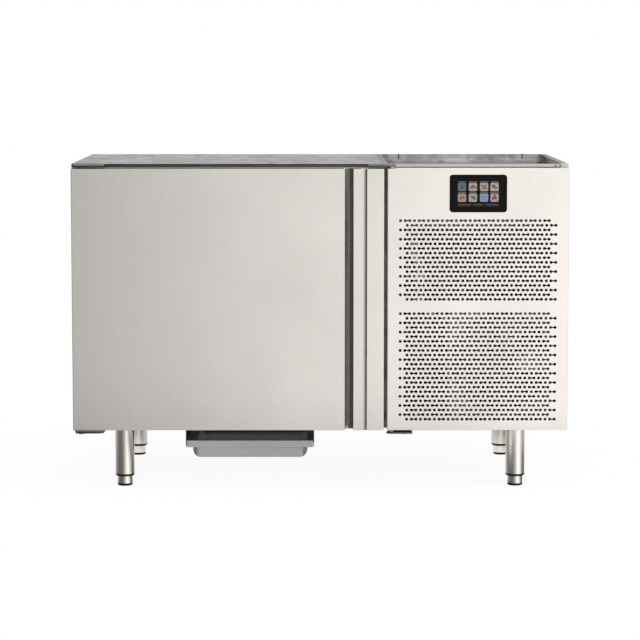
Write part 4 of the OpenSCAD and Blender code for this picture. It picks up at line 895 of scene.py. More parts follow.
WEARERS: tuple[tuple[Finish, str], ...] = (
    (Palette.body_steel, "outer_casing front_frame"),
    (Palette.foam, "insulation_foam door_foam"),
    (Palette.liner_steel, "inner_liner fan_cover drip_tray door_liner"),
    (Palette.grey_frame, "breaker_frame"),
    (Palette.galvanised, "top_sheet"),
    (Palette.divider_sheet, "divider_wall"),
    (Palette.side_steel, "right_side_wall"),
    (Palette.pan_sheet, "base_pan"),
    (Palette.back_sheet, "back_panel"),
    (Palette.rim_steel, "front_rim"),
    (Palette.screw_steel, "casing_screws"),
    (Palette.compressor, "compressor condenser_fan_motor evaporator_fan_motors"),
    (Palette.rubber, "compressor_mounts foot_pad_front_left foot_pad_front_right foot_pad_back_left "
                     "foot_pad_back_right"),
    (Palette.fins, "condenser_coil evaporator_coil"),
    (Palette.zinc_plate, "condenser_shroud door_bearing_plate"),
    (Palette.fan_steel, "condenser_fan_blade"),
    (Palette.vessel, "liquid_receiver"),
    (Palette.drier, "filter_drier"),
    (Palette.copper, "refrigerant_pipes"),
    (Palette.box_paint, "electrical_box"),
    (Palette.black_plastic, "cable_gland leg_inserts door_caps"),
    (Palette.wire, "fan_guards"),
    (Palette.fan_black, "evaporator_fan_blade_left evaporator_fan_blade_right"),
    (Palette.white_pipe, "drain_pipe"),
    (Palette.rack_steel, "tray_racks"),
    (Palette.rail_steel, "tray_rails"),
    (Palette.tray_steel, "condensate_tray"),
    (Palette.tube_steel, "legs foot_front_left foot_front_right foot_back_left foot_back_right"),
    (Palette.door_steel, "door_skin"),
    (Palette.grip_steel, "door_grip"),
    (Palette.seal, "door_gasket"),
    (Palette.bush_plastic, "door_bushes"),
    (Palette.dark_zinc, "door_hinges panel_hinges"),
    (Palette.panel_steel, "service_panel"),
    (Palette.bezel, "display_bezel"),
    (Palette.glass, "display_glass"),
    (Palette.board, "display_module"),
    (Palette.brass, "panel_bushes"),
    (Palette.magnet, "panel_magnets"),
)
DRESS: dict[str, Finish] = {node: finish for finish, nodes in WEARERS for node in nodes.split()}


# ------------------------------------------------------------------- mesh tools


class MeshDraft:
    """A mesh under construction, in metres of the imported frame."""

    def __init__(self) -> None:
        """Starts empty."""
        self.bm = bmesh.new()

    def slab(self, low: Point, high: Point) -> None:
        """Adds a closed box between two corners."""
        made = bmesh.ops.create_cube(self.bm, size=1.0)["verts"]
        size = Vector(high) - Vector(low)
        middle = (Vector(high) + Vector(low)) / 2
        for vert in made:
            vert.co = Vector((vert.co.x * size.x, vert.co.y * size.y, vert.co.z * size.z)) + middle

    def sheet_y(self, outline: Sequence[tuple[float, float]], front: float, back: float) -> None:
        """Adds a plate whose outline is in the X-Z plane.

        Args:
            outline: Points (x, z) round the plate.
            front: Its lower Y.
            back: Its higher Y.
        """
        near = [self.bm.verts.new((x, front, z)) for x, z in outline]
        far = [self.bm.verts.new((x, back, z)) for x, z in outline]
        self.bm.faces.new(near)
        self.bm.faces.new(list(reversed(far)))
        count = len(outline)
        for i in range(count):
            j = (i + 1) % count
            self.bm.faces.new((near[j], near[i], far[i], far[j]))

    def lathe(self, profile: Sequence[tuple[float, float]], centre: Point, axis: Point,
              steps: int = 32) -> None:
        """Adds a closed turned shape.

        Args:
            profile: Points (radius, distance along the axis) from one end to the other.
            centre: Where the axis starts.
            axis: The way it points.
            steps: Number of sides.
        """
        turn = Vector((0, 0, 1)).rotation_difference(Vector(axis).normalized())
        rings: list[list[bmesh.types.BMVert]] = []
        for radius, along in profile:
            if rings and radius >= 1e-7 and (radius, along) == tuple(profile[0]):
                rings.append(rings[0])
                continue
            if radius < 1e-7:
                rings.append([self.bm.verts.new(Vector(centre) + turn @ Vector((0, 0, along)))])
                continue
            rings.append([self.bm.verts.new(Vector(centre) + turn @ Vector(
                (radius * math.cos(2 * math.pi * i / steps),
                 radius * math.sin(2 * math.pi * i / steps), along))) for i in range(steps)])
        for first, second in zip(rings, rings[1:]):
            for i in range(steps):
                j = (i + 1) % steps
                corners = [first[i % len(first)], first[j % len(first)],
                           second[j % len(second)], second[i % len(second)]]
                seen = list(dict.fromkeys(corners))
                if len(seen) >= 3:
                    self.bm.faces.new(seen)

    def tube(self, path: Sequence[Point], radius: float, steps: int = 12) -> None:
        """Adds a closed round bar along a line of points.

        Args:
            path: The points in order.
            radius: The bar's radius.
            steps: Number of sides.
        """
        points = [Vector(p) for p in path]
        side = Vector((0, 0, 1))
        rings = []
        for i, point in enumerate(points):
            ahead = points[min(i + 1, len(points) - 1)] - points[max(i - 1, 0)]
            ahead.normalize()
            if abs(side.dot(ahead)) > 0.98:
                side = Vector((0, 1, 0)) if abs(ahead.y) < 0.9 else Vector((1, 0, 0))
            side = (side - ahead * side.dot(ahead)).normalized()
            other = ahead.cross(side)
            rings.append([self.bm.verts.new(point + radius * (
                side * math.cos(2 * math.pi * k / steps) + other * math.sin(2 * math.pi * k / steps)))
                for k in range(steps)])
        for first, second in zip(rings, rings[1:]):
            for k in range(steps):
                j = (k + 1) % steps
                self.bm.faces.new((first[k], first[j], second[j], second[k]))
        self.bm.faces.new(list(reversed(rings[0])))
        self.bm.faces.new(rings[-1])

    def done(self, name: str, finish: Finish, body: str,
             smooth_below: Optional[float] = None) -> bpy.types.Object:
        """Turns the draft into a piece that rides on a body.

        Args:
            name: The piece's name.
            finish: Its finish.
            body: The CAD body it moves with.
            smooth_below: Edges flatter than this many degrees are shaded smooth.

        Returns:
            The piece.
        """
        bmesh.ops.recalc_face_normals(self.bm, faces=self.bm.faces)
        if smooth_below is not None:
            for face in self.bm.faces:
                face.smooth = True
            for edge in self.bm.edges:
                edge.smooth = (len(edge.link_faces) == 2 and
                               edge.calc_face_angle(0.0) < math.radians(smooth_below))
        mesh = bpy.data.meshes.new(name)
        self.bm.to_mesh(mesh)
        self.bm.free()
        piece = bpy.data.objects.new(name, mesh)
        bpy.context.scene.collection.objects.link(piece)
        mesh.materials.append(finish.material())
        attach(piece, body)
        LOG.info("%s: %d faces on %s", name, len(mesh.polygons), body)
        return piece


def rounded(low: tuple[float, float], high: tuple[float, float], radius: float,
            steps: int = 6) -> list[tuple[float, float]]:
    """Outline of a rectangle with round corners.

    Args:
        low: Its lower left corner.
        high: Its upper right corner.
        radius: Radius of the corners.
        steps: Points per corner.

    Returns:
        The points, anticlockwise.
    """
    points = []
    centres = ((high[0] - radius, high[1] - radius, 0), (low[0] + radius, high[1] - radius, 90),
               (low[0] + radius, low[1] + radius, 180), (high[0] - radius, low[1] + radius, 270))
    for x, z, start in centres:
        for i in range(steps + 1):
            angle = math.radians(start + 90 * i / steps)
            points.append((x + radius * math.cos(angle), z + radius * math.sin(angle)))
    return points


def disc(x: float, z: float, wide: float, high: float, steps: int = 20,
         turned: float = 0.0) -> list[tuple[float, float]]:
    """Outline of an oval in the X-Z plane.

    Args:
        x: Its middle along X.
        z: Its middle along Z.
        wide: Half its width.
        high: Half its height.
        steps: Number of points.
        turned: Degrees that it is turned by.

    Returns:
        The points, anticlockwise.
    """
    turn = math.radians(turned)
    points = []
    for i in range(steps):
        angle = 2 * math.pi * i / steps
        a, b = wide * math.cos(angle), high * math.sin(angle)
        points.append((x + a * math.cos(turn) - b * math.sin(turn),
                       z + a * math.sin(turn) + b * math.cos(turn)))
    return points


# --------------------------------------------------------------- sub-assemblies


@dataclass
class CadFinishes:
    """Gives every carried-over CAD node its finish."""

    nodes: dict[str, bpy.types.Object]

    def dress(self) -> None:
        """Puts each node's material in its object's slots."""
        for name, node in sorted(self.nodes.items()):
            made = DRESS[name].material()
            if not node.material_slots:
                node.data.materials.append(made)
            for holder in node.material_slots:
                holder.material = made
            LOG.info("%s wears %s", name, made.name)


@dataclass(frozen=True)
class Motif:
    """A plain generic shape on a tile, made of ovals or level bars round its middle."""

    first: Colour
    second: Colour
    ovals: tuple[tuple[float, ...], ...] = ()
    bars: tuple[tuple[float, ...], ...] = ()

    def outlines(self, x: float, z: float) -> list[list[tuple[float, float]]]:
        """Its shapes, placed on a tile.

        Args:
            x: The tile's middle along X.
            z: The tile's middle along Z.

        Returns:
            The outline of each oval and bar.
        """
        return ([disc(x + dx, z + dz, *shape) for dx, dz, *shape in self.ovals]
                + [rounded((x + left, z + low), (x + right, z + high), *shape)
                   for left, low, right, high, *shape in self.bars])


MOTIFS = (
    Motif(tone(70, 84, 94), tone(56, 68, 80),
          ovals=tuple((0.0, 0.0, 0.0072, 0.0008, 8, angle) for angle in (0, 60, 120))),
    Motif(tone(92, 84, 62), tone(124, 84, 72),
          ovals=((-0.002, 0.001, 0.0055, 0.0026, 16, 35), (0.004, -0.0005, 0.0026, 0.003, 14))),
    Motif(tone(132, 108, 86), tone(104, 92, 70),
          bars=((-0.0068, 0.0, 0.0058, 0.0042, 0.0019), (-0.005, -0.005, 0.0068, -0.0014, 0.0016))),
    Motif(tone(134, 86, 62), tone(84, 66, 54),
          ovals=((-0.002, 0.002, 0.0046, 0.0038, 18, 20), (0.004, -0.0025, 0.0034, 0.002, 14, -30))),
    Motif(tone(150, 88, 70), tone(124, 84, 66),
          ovals=((-0.0035, -0.0005, 0.0034, 0.0034), (0.0036, 0.0, 0.003, 0.003))),
    Motif(tone(88, 92, 92), tone(66, 70, 70),
          ovals=((0.0, 0.0, 0.0076, 0.0021, 16, -42), (0.003, 0.003, 0.0026, 0.0012, 12, 40))),
    Motif(tone(86, 108, 136), tone(104, 128, 154),
          bars=((-0.0068, 0.0028, 0.0066, 0.0044, 0.0007, 3),
                (-0.0068, -0.0006, 0.004, 0.001, 0.0007, 3),
                (-0.0068, -0.004, 0.0058, -0.0024, 0.0007, 3))),
    Motif(tone(132, 52, 56), tone(100, 42, 48),
          ovals=((-0.003, -0.001, 0.003, 0.003), (0.0032, -0.0002, 0.0029, 0.0029),
                 (0.0002, 0.0042, 0.0027, 0.0027))),
)


@dataclass
class TouchScreen:
    """The picture behind the glass: two rows of tiles with bars, and a status bar."""

    face_y: float = -0.3498
    lift: float = 0.00008
    left: tuple[float, ...] = (0.3432, 0.3704, 0.3982, 0.4242)
    rows: tuple[float, ...] = (0.7545, 0.7278)
    tile: float = 0.0208
    corner: float = 0.0034
    bar_rise: float = 0.0013
    bar_high: float = 0.0022
    slot_name: str = "black_glass"

    def tiles(self) -> None:
        """The eight rounded tiles, each with a tone of its own."""
        tones = ((tone(104, 116, 124), tone(76, 88, 96)), (tone(188, 178, 168), tone(140, 124, 112)),
                 (tone(184, 176, 166), tone(136, 126, 112)), (tone(192, 184, 176), tone(142, 126, 116)),
                 (tone(178, 160, 146), tone(132, 108, 92)), (tone(176, 176, 174), tone(132, 132, 130)),
                 (tone(150, 168, 190), tone(112, 132, 158)), (tone(190, 172, 172), tone(146, 116, 118)))
        for i, (first, second) in enumerate(tones):
            x, z = self.left[i % 4], self.rows[i // 4]
            draft = MeshDraft()
            draft.sheet_y(rounded((x, z), (x + self.tile, z + self.tile), self.corner),
                          self.face_y - self.lift, self.face_y + self.lift)
            draft.done(f"screen_tile_{i + 1}", LitPicture(f"tile_picture_{i + 1}", first, second),
                       "service_panel")

    def motifs(self) -> None:
        """A plain generic shape on each tile."""
        for i, motif in enumerate(MOTIFS):
            x = self.left[i % 4] + self.tile / 2
            z = self.rows[i // 4] + self.tile / 2
            draft = MeshDraft()
            for outline in motif.outlines(x, z):
                draft.sheet_y(outline, self.face_y - 1.6 * self.lift, self.face_y - 0.9 * self.lift)
            draft.done(f"tile_motif_{i + 1}",
                       LitPicture(f"motif_picture_{i + 1}", motif.first, motif.second, 260.0),
                       "service_panel")

    def bars(self) -> None:
        """A thin bar over each tile and the dim status bar below."""
        shares = (0.92, 1.0, 1.0, 0.9, 0.95, 0.86, 0.9, 1.12)
        draft = MeshDraft()
        for i, share in enumerate(shares):
            middle = self.left[i % 4] + self.tile / 2
            low = self.rows[i // 4] + self.tile + self.bar_rise
            half = self.tile * share / 2
            draft.sheet_y(rounded((middle - half, low), (middle + half, low + self.bar_high), 0.0006, 3),
                          self.face_y - self.lift, self.face_y + self.lift)
        draft.done("screen_caption_bars", LitPicture("caption_bar_picture", tone(134, 130, 126),
                                                     tone(66, 66, 66), 420.0),
                   "service_panel")
        draft = MeshDraft()
        for low, high in ((0.3432, 0.3760), (0.3810, 0.4070), (0.4120, 0.4454)):
            draft.sheet_y(rounded((low, 0.7175), (high, 0.7236), 0.0012, 4),
                          self.face_y - self.lift, self.face_y + self.lift)
        draft.done("screen_status_bar", LitPicture("status_bar_picture", tone(74, 74, 76),
                                                   tone(38, 38, 40), 160.0),
                   "service_panel")

    def build(self) -> None:
        """Builds the whole picture."""
        self.tiles()
        self.motifs()
        self.bars()


@dataclass
class FinPack:
    """A heat exchanger: a pack of thin fins on rows of tubes, between two end plates."""

    node: str
    body: str
    low: Point
    high: Point
    rows: int
    columns: int
    tube_radius: float
    pitch: float
    end_gap: float = 0.012
    end_plate: float = 0.0015
    fin: float = 0.00025

    def fins(self) -> bpy.types.Object:
        """The fins, each a thin plate with a stepped front edge."""
        draft = MeshDraft()
        start, stop = self.low[0] + self.end_gap, self.high[0] - self.end_gap
        count = int((stop - start) / self.pitch)
        for i in range(count + 1):
            x = start + (stop - start) * i / count
            sway = 0.0006 * math.sin(i * 2.4)
            draft.slab((x - self.fin / 2, self.low[1] + abs(sway), self.low[2] + 0.001),
                       (x + self.fin / 2, self.high[1] - abs(sway), self.high[2] - 0.001))
        return draft.done(self.node + "_fins", Palette.fins, self.body)

    def plates(self) -> bpy.types.Object:
        """The folded end plates that carry the tubes."""
        draft = MeshDraft()
        flange = 0.010
        for x, way in ((self.low[0], 1.0), (self.high[0] - self.end_plate, -1.0)):
            draft.slab((x, self.low[1], self.low[2]), (x + self.end_plate, self.high[1], self.high[2]))
            inner = (x + self.end_plate, x + flange) if way > 0 else (x - flange + self.end_plate, x)
            for y in (self.low[1], self.high[1] - self.end_plate):
                draft.slab((inner[0], y, self.low[2]), (inner[1], y + self.end_plate, self.high[2]))
        return draft.done(self.node + "_end_plates", Palette.zinc_plate, self.body)

    def tubes(self) -> bpy.types.Object:
        """Tubes through the pack, with return bends past the end plate."""
        draft = MeshDraft()
        depth = self.high[1] - self.low[1]
        pitch_y = depth / self.columns
        pitch_z = (self.high[2] - self.low[2]) / self.rows
        bend = pitch_z / 4
        for column in range(self.columns):
            y = self.low[1] + pitch_y * (column + 0.5)
            for row in range(self.rows):
                middle = self.low[2] + pitch_z * (row + 0.5)
                for side in (-1, 1):
                    draft.tube([(self.low[0] + 0.0002, y, middle + side * bend),
                                (self.high[0] - 0.0002, y, middle + side * bend)], self.tube_radius)
                arc = [(self.low[0] - bend * math.sin(math.pi * k / 10), y,
                        middle - bend * math.cos(math.pi * k / 10)) for k in range(11)]
                draft.tube(arc, self.tube_radius)
        return draft.done(self.node + "_tubes", Palette.copper, self.body, 50.0)

    def build(self) -> None:
        """Builds the pack and lets it stand for its CAD block."""
        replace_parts(self.fins(), self.node)
        self.plates()
        self.tubes()


@dataclass
class DoorSeal:
    """The magnetic gasket: a fluted base, a bellows and a round-shouldered magnet bead."""

    back_y: float
    face_y: float
    low: tuple[float, float]
    high: tuple[float, float]
    width: float = 0.018

    def profile(self) -> list[tuple[float, float]]:
        """Section through one run: points (outwards from the inner edge, depth towards the cabinet)."""
        depth = self.face_y - self.back_y
        wide = self.width
        return [(0.0, 0.0), (wide, 0.0), (wide, 0.22 * depth), (0.90 * wide, 0.30 * depth),
                (0.90 * wide, 0.42 * depth), (0.98 * wide, 0.50 * depth), (0.90 * wide, 0.58 * depth),
                (0.90 * wide, 0.66 * depth), (0.96 * wide, 0.74 * depth), (0.96 * wide, 0.92 * depth),
                (0.90 * wide, 0.99 * depth), (0.24 * wide, 0.99 * depth), (0.18 * wide, 0.92 * depth),
                (0.18 * wide, 0.74 * depth), (0.26 * wide, 0.66 * depth), (0.18 * wide, 0.56 * depth),
                (0.26 * wide, 0.46 * depth), (0.10 * wide, 0.34 * depth), (0.10 * wide, 0.26 * depth),
                (0.0, 0.20 * depth)]

    def build(self) -> None:
        """Sweeps the section round the door with mitred corners."""
        draft = MeshDraft()
        rings = []
        for sx, sz in ((-1, -1), (1, -1), (1, 1), (-1, 1)):
            x = self.low[0] if sx < 0 else self.high[0]
            z = self.low[1] if sz < 0 else self.high[1]
            rings.append([draft.bm.verts.new((x + sx * out, self.back_y + deep, z + sz * out))
                          for out, deep in self.profile()])
        count = len(self.profile())
        for first, second in zip(rings, rings[1:] + rings[:1]):
            for i in range(count):
                j = (i + 1) % count
                draft.bm.faces.new((first[i], first[j], second[j], second[i]))
        piece = draft.done("door_seal_bellows", Palette.seal, "door", 40.0)
        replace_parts(piece, "door_gasket")


class HeadKind(Enum):
    """How a screw is driven."""

    CROSS = "cross"
    HEX = "hex"


@dataclass
class CasingScrews:
    """The heads of the casing's screws, with their recesses."""

    small: float = 0.0032
    large: float = 0.005
    rise: float = 0.0019
    rim_y: float = -0.2875
    rim_z: float = 0.816
    rim_x: tuple[float, ...] = (0.592, 0.604)
    back_y: float = 0.348
    back_x: tuple[float, ...] = (-0.611, 0.146, 0.174, 0.611)
    back_z: tuple[float, ...] = (0.190, 0.485, 0.780)
    under_z: float = 0.147
    leg_x: float = 0.4975
    leg_y: tuple[float, ...] = (-0.2635, 0.2445)
    under_dx: tuple[float, ...] = (-0.036, 0.036)
    under_dy: tuple[float, ...] = (0.010, 0.038)

    def head(self, draft: MeshDraft, seat: Point, way: Point, radius: float, kind: HeadKind) -> None:
        """Adds one head: a turned dome with a sunk drive.

        Args:
            draft: The mesh to add to.
            seat: Middle of the head's underside.
            way: The way the head faces.
            radius: Its radius.
            kind: Its drive.
        """
        rise = self.rise
        profile = [(0.0, 0.0), (radius, 0.0), (radius, 0.35 * rise), (0.88 * radius, 0.72 * rise),
                   (0.66 * radius, 0.95 * rise), (0.46 * radius, rise), (0.42 * radius, 0.55 * rise),
                   (0.30 * radius, 0.35 * rise), (0.0, 0.25 * rise)]
        if kind is HeadKind.HEX:
            profile = [(0.0, 0.0), (radius, 0.0), (radius, 0.2 * rise), (0.82 * radius, 0.24 * rise),
                       (0.82 * radius, 0.9 * rise), (0.74 * radius, rise), (0.0, rise)]
        draft.lathe(profile, seat, way, 24 if kind is HeadKind.CROSS else 6)

    def build(self) -> None:
        """Builds all the heads as one piece that stands for the CAD heads."""
        draft = MeshDraft()
        for x in self.rim_x:
            self.head(draft, (x, self.rim_y, self.rim_z), (0, -1, 0), self.small, HeadKind.CROSS)
        for x in self.back_x:
            for z in self.back_z:
                self.head(draft, (x, self.back_y, z), (0, 1, 0), self.small, HeadKind.CROSS)
        for side in (-1, 1):
            for y in self.leg_y:
                for dx in self.under_dx:
                    for dy in self.under_dy:
                        self.head(draft, (side * self.leg_x + dx, y + dy, self.under_z), (0, 0, -1),
                                  self.large, HeadKind.HEX)
        piece = draft.done("casing_screw_heads", Palette.screw_steel, "cabinet", 35.0)
        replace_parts(piece, "casing_screws")


def bent(points: Sequence[Point], radius: float, steps: int = 7) -> list[Point]:
    """Rounds the corners of a line of points.

    Args:
        points: The line's corners in order.
        radius: Radius of each bend.
        steps: Points per bend.

    Returns:
        The points of the line with its bends.
    """
    out: list[Point] = [points[0]]
    for before, at, after in zip(points, points[1:], points[2:]):
        corner = Vector(at)
        back = (Vector(before) - corner).normalized()
        ahead = (Vector(after) - corner).normalized()
        for i in range(steps + 1):
            turn = math.pi / 2 * i / steps
            out.append(tuple(corner + back * radius * (1 - math.sin(turn))
                             + ahead * radius * (1 - math.cos(turn))))
    return out + [points[-1]]


@dataclass
class RefrigerantLines:
    """The copper lines with their brazed joints, and the lagging round the suction and liquid lines."""

    pipe: float = 0.0048
    cold: float = 0.008
    bend: float = 0.016
    joint: float = 0.0007
    gas: tuple[Point, ...] = ((0.260, 0.0858, 0.3192), (0.260, 0.020, 0.3192), (0.260, 0.020, 0.500),
                              (0.370, 0.020, 0.500), (0.370, -0.119, 0.500), (0.370, -0.119, 0.4582))
    liquid: tuple[Point, ...] = ((0.545, 0.020, 0.3757), (0.545, 0.020, 0.3957), (0.430, 0.020, 0.3957),
                                 (0.430, 0.020, 0.4208))
    to_coil: tuple[Point, ...] = ((0.430, 0.020, 0.5492), (0.430, 0.020, 0.580), (0.430, 0.252, 0.580),
                                  (0.176, 0.252, 0.580), (0.176, 0.252, 0.694), (0.0682, 0.252, 0.694))
    suction: tuple[Point, ...] = ((0.0682, 0.235, 0.704), (0.176, 0.235, 0.704), (0.176, 0.235, 0.520),
                                  (0.300, 0.235, 0.520), (0.300, 0.235, 0.4127))
    bare_to: tuple[Point, Point] = ((0.090, 0.235, 0.704), (0.300, 0.235, 0.430))
    lagged_from: tuple[Point, Point] = ((0.084, 0.235, 0.704), (0.300, 0.235, 0.424))
    lagged_bend: float = 0.020
    sleeve: float = 0.0066
    sleeves: tuple[tuple[Point, Point, float], ...] = (
        ((0.400, 0.252, 0.580), (-1, 0, 0), 0.195), ((0.430, 0.040, 0.580), (0, 1, 0), 0.196))
    ties: tuple[tuple[Point, Point], ...] = (
        ((0.300, 0.235, 0.470), (0, 0, 1)), ((0.240, 0.235, 0.520), (1, 0, 0)),
        ((0.176, 0.235, 0.600), (0, 0, 1)), ((0.176, 0.235, 0.660), (0, 0, 1)))

    def joints(self, draft: MeshDraft, path: Sequence[Point], radius: float) -> None:
        """Adds the swaged sleeve and the braze ring near both ends of a line.

        Args:
            draft: The mesh to add to.
            path: The line's corners.
            radius: The line's radius.
        """
        for end, inner in ((path[0], path[1]), (path[-1], path[-2])):
            way = (Vector(inner) - Vector(end)).normalized()
            wide = radius + self.joint
            draft.lathe([(0.0, 0.0), (wide, 0.0), (wide, 0.009), (radius + 0.0003, 0.0105), (0.0, 0.0105)],
                        tuple(Vector(end)), tuple(way), 20)

    def build(self) -> None:
        """Builds the bare lines and the lagged line in place of the CAD pipes."""
        draft = MeshDraft()
        for path in (self.gas, self.liquid, self.to_coil):
            draft.tube(bent(path, self.bend), self.pipe, 16)
            self.joints(draft, path, self.pipe - self.joint)
        draft.tube([self.suction[0], self.bare_to[0]], self.cold - 0.002, 18)
        draft.tube([self.bare_to[1], self.suction[-1]], self.cold - 0.002, 18)
        self.joints(draft, self.suction, self.cold - self.joint)
        bare = draft.done("copper_refrigerant_lines", Palette.copper, "cabinet", 50.0)
        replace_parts(bare, "refrigerant_pipes")
        draft = MeshDraft()
        lagged_path = [self.lagged_from[0], *self.suction[1:-1], self.lagged_from[1]]
        draft.tube(bent(lagged_path, self.lagged_bend, 8), self.cold, 18)
        lagged = draft.done("suction_line_lagging", Palette.lagging, "cabinet", 50.0)
        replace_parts(lagged, "refrigerant_pipes")
        draft = MeshDraft()
        bore = self.pipe - 0.0003
        for start, way, length in self.sleeves:
            draft.lathe([(bore, 0.0), (self.sleeve, 0.0), (self.sleeve, length), (bore, length),
                         (bore, 0.0)], start, way, 18)
        draft.done("liquid_line_lagging", Palette.lagging, "cabinet", 50.0)
        draft = MeshDraft()
        foot, rim = self.cold - 0.0004, self.cold + 0.0005
        for place, way in self.ties:
            draft.lathe([(foot, 0.0), (rim, 0.0004), (rim, 0.0036), (foot, 0.004)], place, way, 20)
        draft.done("lagging_ties", Palette.tie, "cabinet", 40.0)


@dataclass
class PanelWiring:
    """The wires behind the panel, strapped to brackets on the dividing wall."""

    thick: float = 0.0015
    entry: Point = (0.250, 0.102, 0.640)
    wall_x: float = 0.160
    face: float = -0.272
    run_z: float = 0.566
    shroud_y: float = -0.2046
    level_clips: tuple[float, ...] = (0.030, -0.130)
    upright_clips: tuple[float, ...] = (0.535, 0.475)
    sheet: float = 0.0012
    strap: float = 0.0006
    earth_z: float = 0.372
    white_z: float = 0.392
    splice_start: tuple[float, float] = (0.334, 0.408)
    can: tuple[float, float] = (0.264, 0.356)
    can_radius: float = 0.0168

    def run(self, name: str, finish: Finish, paths: Sequence[Sequence[Point]], radius: float,
            bend: float = 0.010) -> None:
        """Builds one colour of wire as a piece.

        Args:
            name: The piece's name.
            finish: Its finish.
            paths: The corners of each wire.
            radius: Radius of the wire.
            bend: Radius of its bends.
        """
        draft = MeshDraft()
        for path in paths:
            draft.tube(bent(path, bend, 5), radius, 10)
        draft.done(name, finish, "cabinet", 60.0)

    def drop(self, side: float, ahead: float = 0.0) -> list[Point]:
        """The first stretch of a wire, from the electrical box down, forwards and down again.

        Args:
            side: How far to the right of the entry's middle it lies.
            ahead: How far behind the loom's front plane it comes down.

        Returns:
            Its corners.
        """
        x, y, z = self.entry
        return [(x + side, y, z + 0.004), (x + side, y, self.run_z),
                (x + side, self.face + ahead, self.run_z)]

    def band(self, draft: MeshDraft, low: Point, high: Point, thick: float, along: int) -> None:
        """Adds a closed strap of square section round a box.

        Args:
            draft: The mesh to add to.
            low: The strap's lowest outer corner.
            high: Its highest outer corner.
            thick: How thick the strap is.
            along: The axis it is open along.
        """
        across = [i for i in range(3) if i != along]
        loops = []
        for level in (low[along], high[along]):
            for inset in (0.0, thick):
                loop = []
                for right, far in ((0, 0), (1, 0), (1, 1), (0, 1)):
                    place = [level, level, level]
                    place[across[0]] = high[across[0]] - inset if right else low[across[0]] + inset
                    place[across[1]] = high[across[1]] - inset if far else low[across[1]] + inset
                    loop.append(draft.bm.verts.new(place))
                loops.append(loop)
        for first, second in ((0, 1), (1, 3), (3, 2), (2, 0)):
            for i in range(4):
                j = (i + 1) % 4
                draft.bm.faces.new((loops[first][i], loops[first][j],
                                    loops[second][j], loops[second][i]))

    def clips(self) -> None:
        """Builds the loom's brackets and straps, and the two screws that wires end on."""
        x, face, wall = self.entry[0], self.face, self.wall_x
        brackets = MeshDraft()
        straps = MeshDraft()
        left, right = x - 0.0100, x + 0.0122
        seat = self.run_z - 0.0018
        for y in self.level_clips:
            brackets.sheet_y([(wall, seat - 0.0112), (wall + self.sheet, seat - 0.0112),
                              (wall + self.sheet, seat - self.sheet), (right + 0.002, seat - self.sheet),
                              (right + 0.002, seat), (wall, seat)], y - 0.006, y + 0.006)
            self.band(straps, (left, y - 0.002, seat - 0.0018), (right, y + 0.002, seat + 0.0042),
                      self.strap, 1)
        rest = face + 0.0055
        for z in self.upright_clips:
            brackets.slab((wall, rest, z - 0.006), (right + 0.002, rest + self.sheet, z + 0.006))
            brackets.slab((wall, rest + 0.0010, z - 0.006),
                          (wall + self.sheet, rest + 0.0112, z + 0.006))
            self.band(straps, (left, face - 0.0064, z - 0.002), (right, rest + 0.0018, z + 0.002),
                      self.strap, 2)
        for y, z in ((face, self.earth_z), (face + 0.004, self.white_z)):
            brackets.lathe([(0.0, 0.0), (0.0046, 0.0), (0.0046, 0.0010), (0.0034, 0.0014),
                            (0.0034, 0.0036), (0.0030, 0.0040), (0.0, 0.0040)],
                           (wall, y, z), (1, 0, 0), 18)
        brackets.done("loom_brackets", Palette.dark_zinc, "cabinet", 40.0)
        straps.done("loom_straps", Palette.tie, "cabinet", 40.0)

    def build(self) -> None:
        """Builds the loom's wires and clips, the splice, the run capacitor and its bracket."""
        x, face, wall = self.entry[0], self.face, self.wall_x
        can_x, can_z = self.can
        self.run("earth_wires", Palette.earth_wire, [
            self.drop(-0.007) + [(x - 0.007, face, 0.408), (0.214, face, 0.408),
                                 (0.214, face, self.earth_z), (wall + 0.003, face, self.earth_z)]],
                 0.0017)
        self.run("white_wires", Palette.white_wire, [
            self.drop(-0.003, 0.004) + [
                (x - 0.003, face + 0.004, 0.446), (0.200, face + 0.004, 0.446),
                (0.200, face + 0.004, self.white_z), (wall + 0.003, face + 0.004, self.white_z)],
            self.drop(0.009) + [(x + 0.009, face, 0.442), (0.286, face, 0.442),
                                (0.336, face, 0.416), (0.336, self.shroud_y, 0.416)]], self.thick)
        self.run("black_wires", Palette.black_wire, [
            self.drop(0.001, -0.004) + [(x + 0.001, face - 0.004, 0.396),
                                        (0.258, face - 0.004, 0.357)],
            self.drop(0.005) + [(x + 0.005, face, 0.408), (0.364, face, 0.408),
                                (0.364, face, 0.436), (0.364, self.shroud_y, 0.436)]],
            self.thick + 0.0003)
        self.clips()
        draft = MeshDraft()
        draft.lathe([(0.0, 0.0), (0.0030, 0.0), (0.0034, 0.001), (0.0034, 0.015), (0.0030, 0.016),
                     (0.0, 0.016)], (self.splice_start[0], face, self.splice_start[1]), (1, 0, 0), 16)
        draft.done("orange_splice", Palette.splice, "cabinet", 40.0)
        draft = MeshDraft()
        draft.lathe([(0.0, 0.0), (0.0165, 0.0), (0.0175, 0.001), (0.0175, 0.0024), (0.0168, 0.0032),
                     (self.can_radius, 0.0600), (0.0160, 0.0612), (0.0, 0.0612)],
                    (can_x, face, can_z), (0, 1, 0), 40)
        for dx in (-0.006, 0.006):
            draft.slab((can_x + dx - 0.0004, face - 0.0075, can_z - 0.003),
                       (can_x + dx + 0.0004, face, can_z + 0.003))
        draft.done("run_capacitor_can", Palette.can, "cabinet", 40.0)
        draft = MeshDraft()
        inner, outer, wide = self.can_radius, self.can_radius + 0.0014, 0.014
        draft.slab((wall, face + 0.018, can_z - 0.020), (wall + 0.0012, face + 0.048, can_z + 0.020))
        draft.slab((wall + 0.0010, face + 0.026, can_z - 0.0196), (can_x, face + 0.040, can_z - 0.0176))
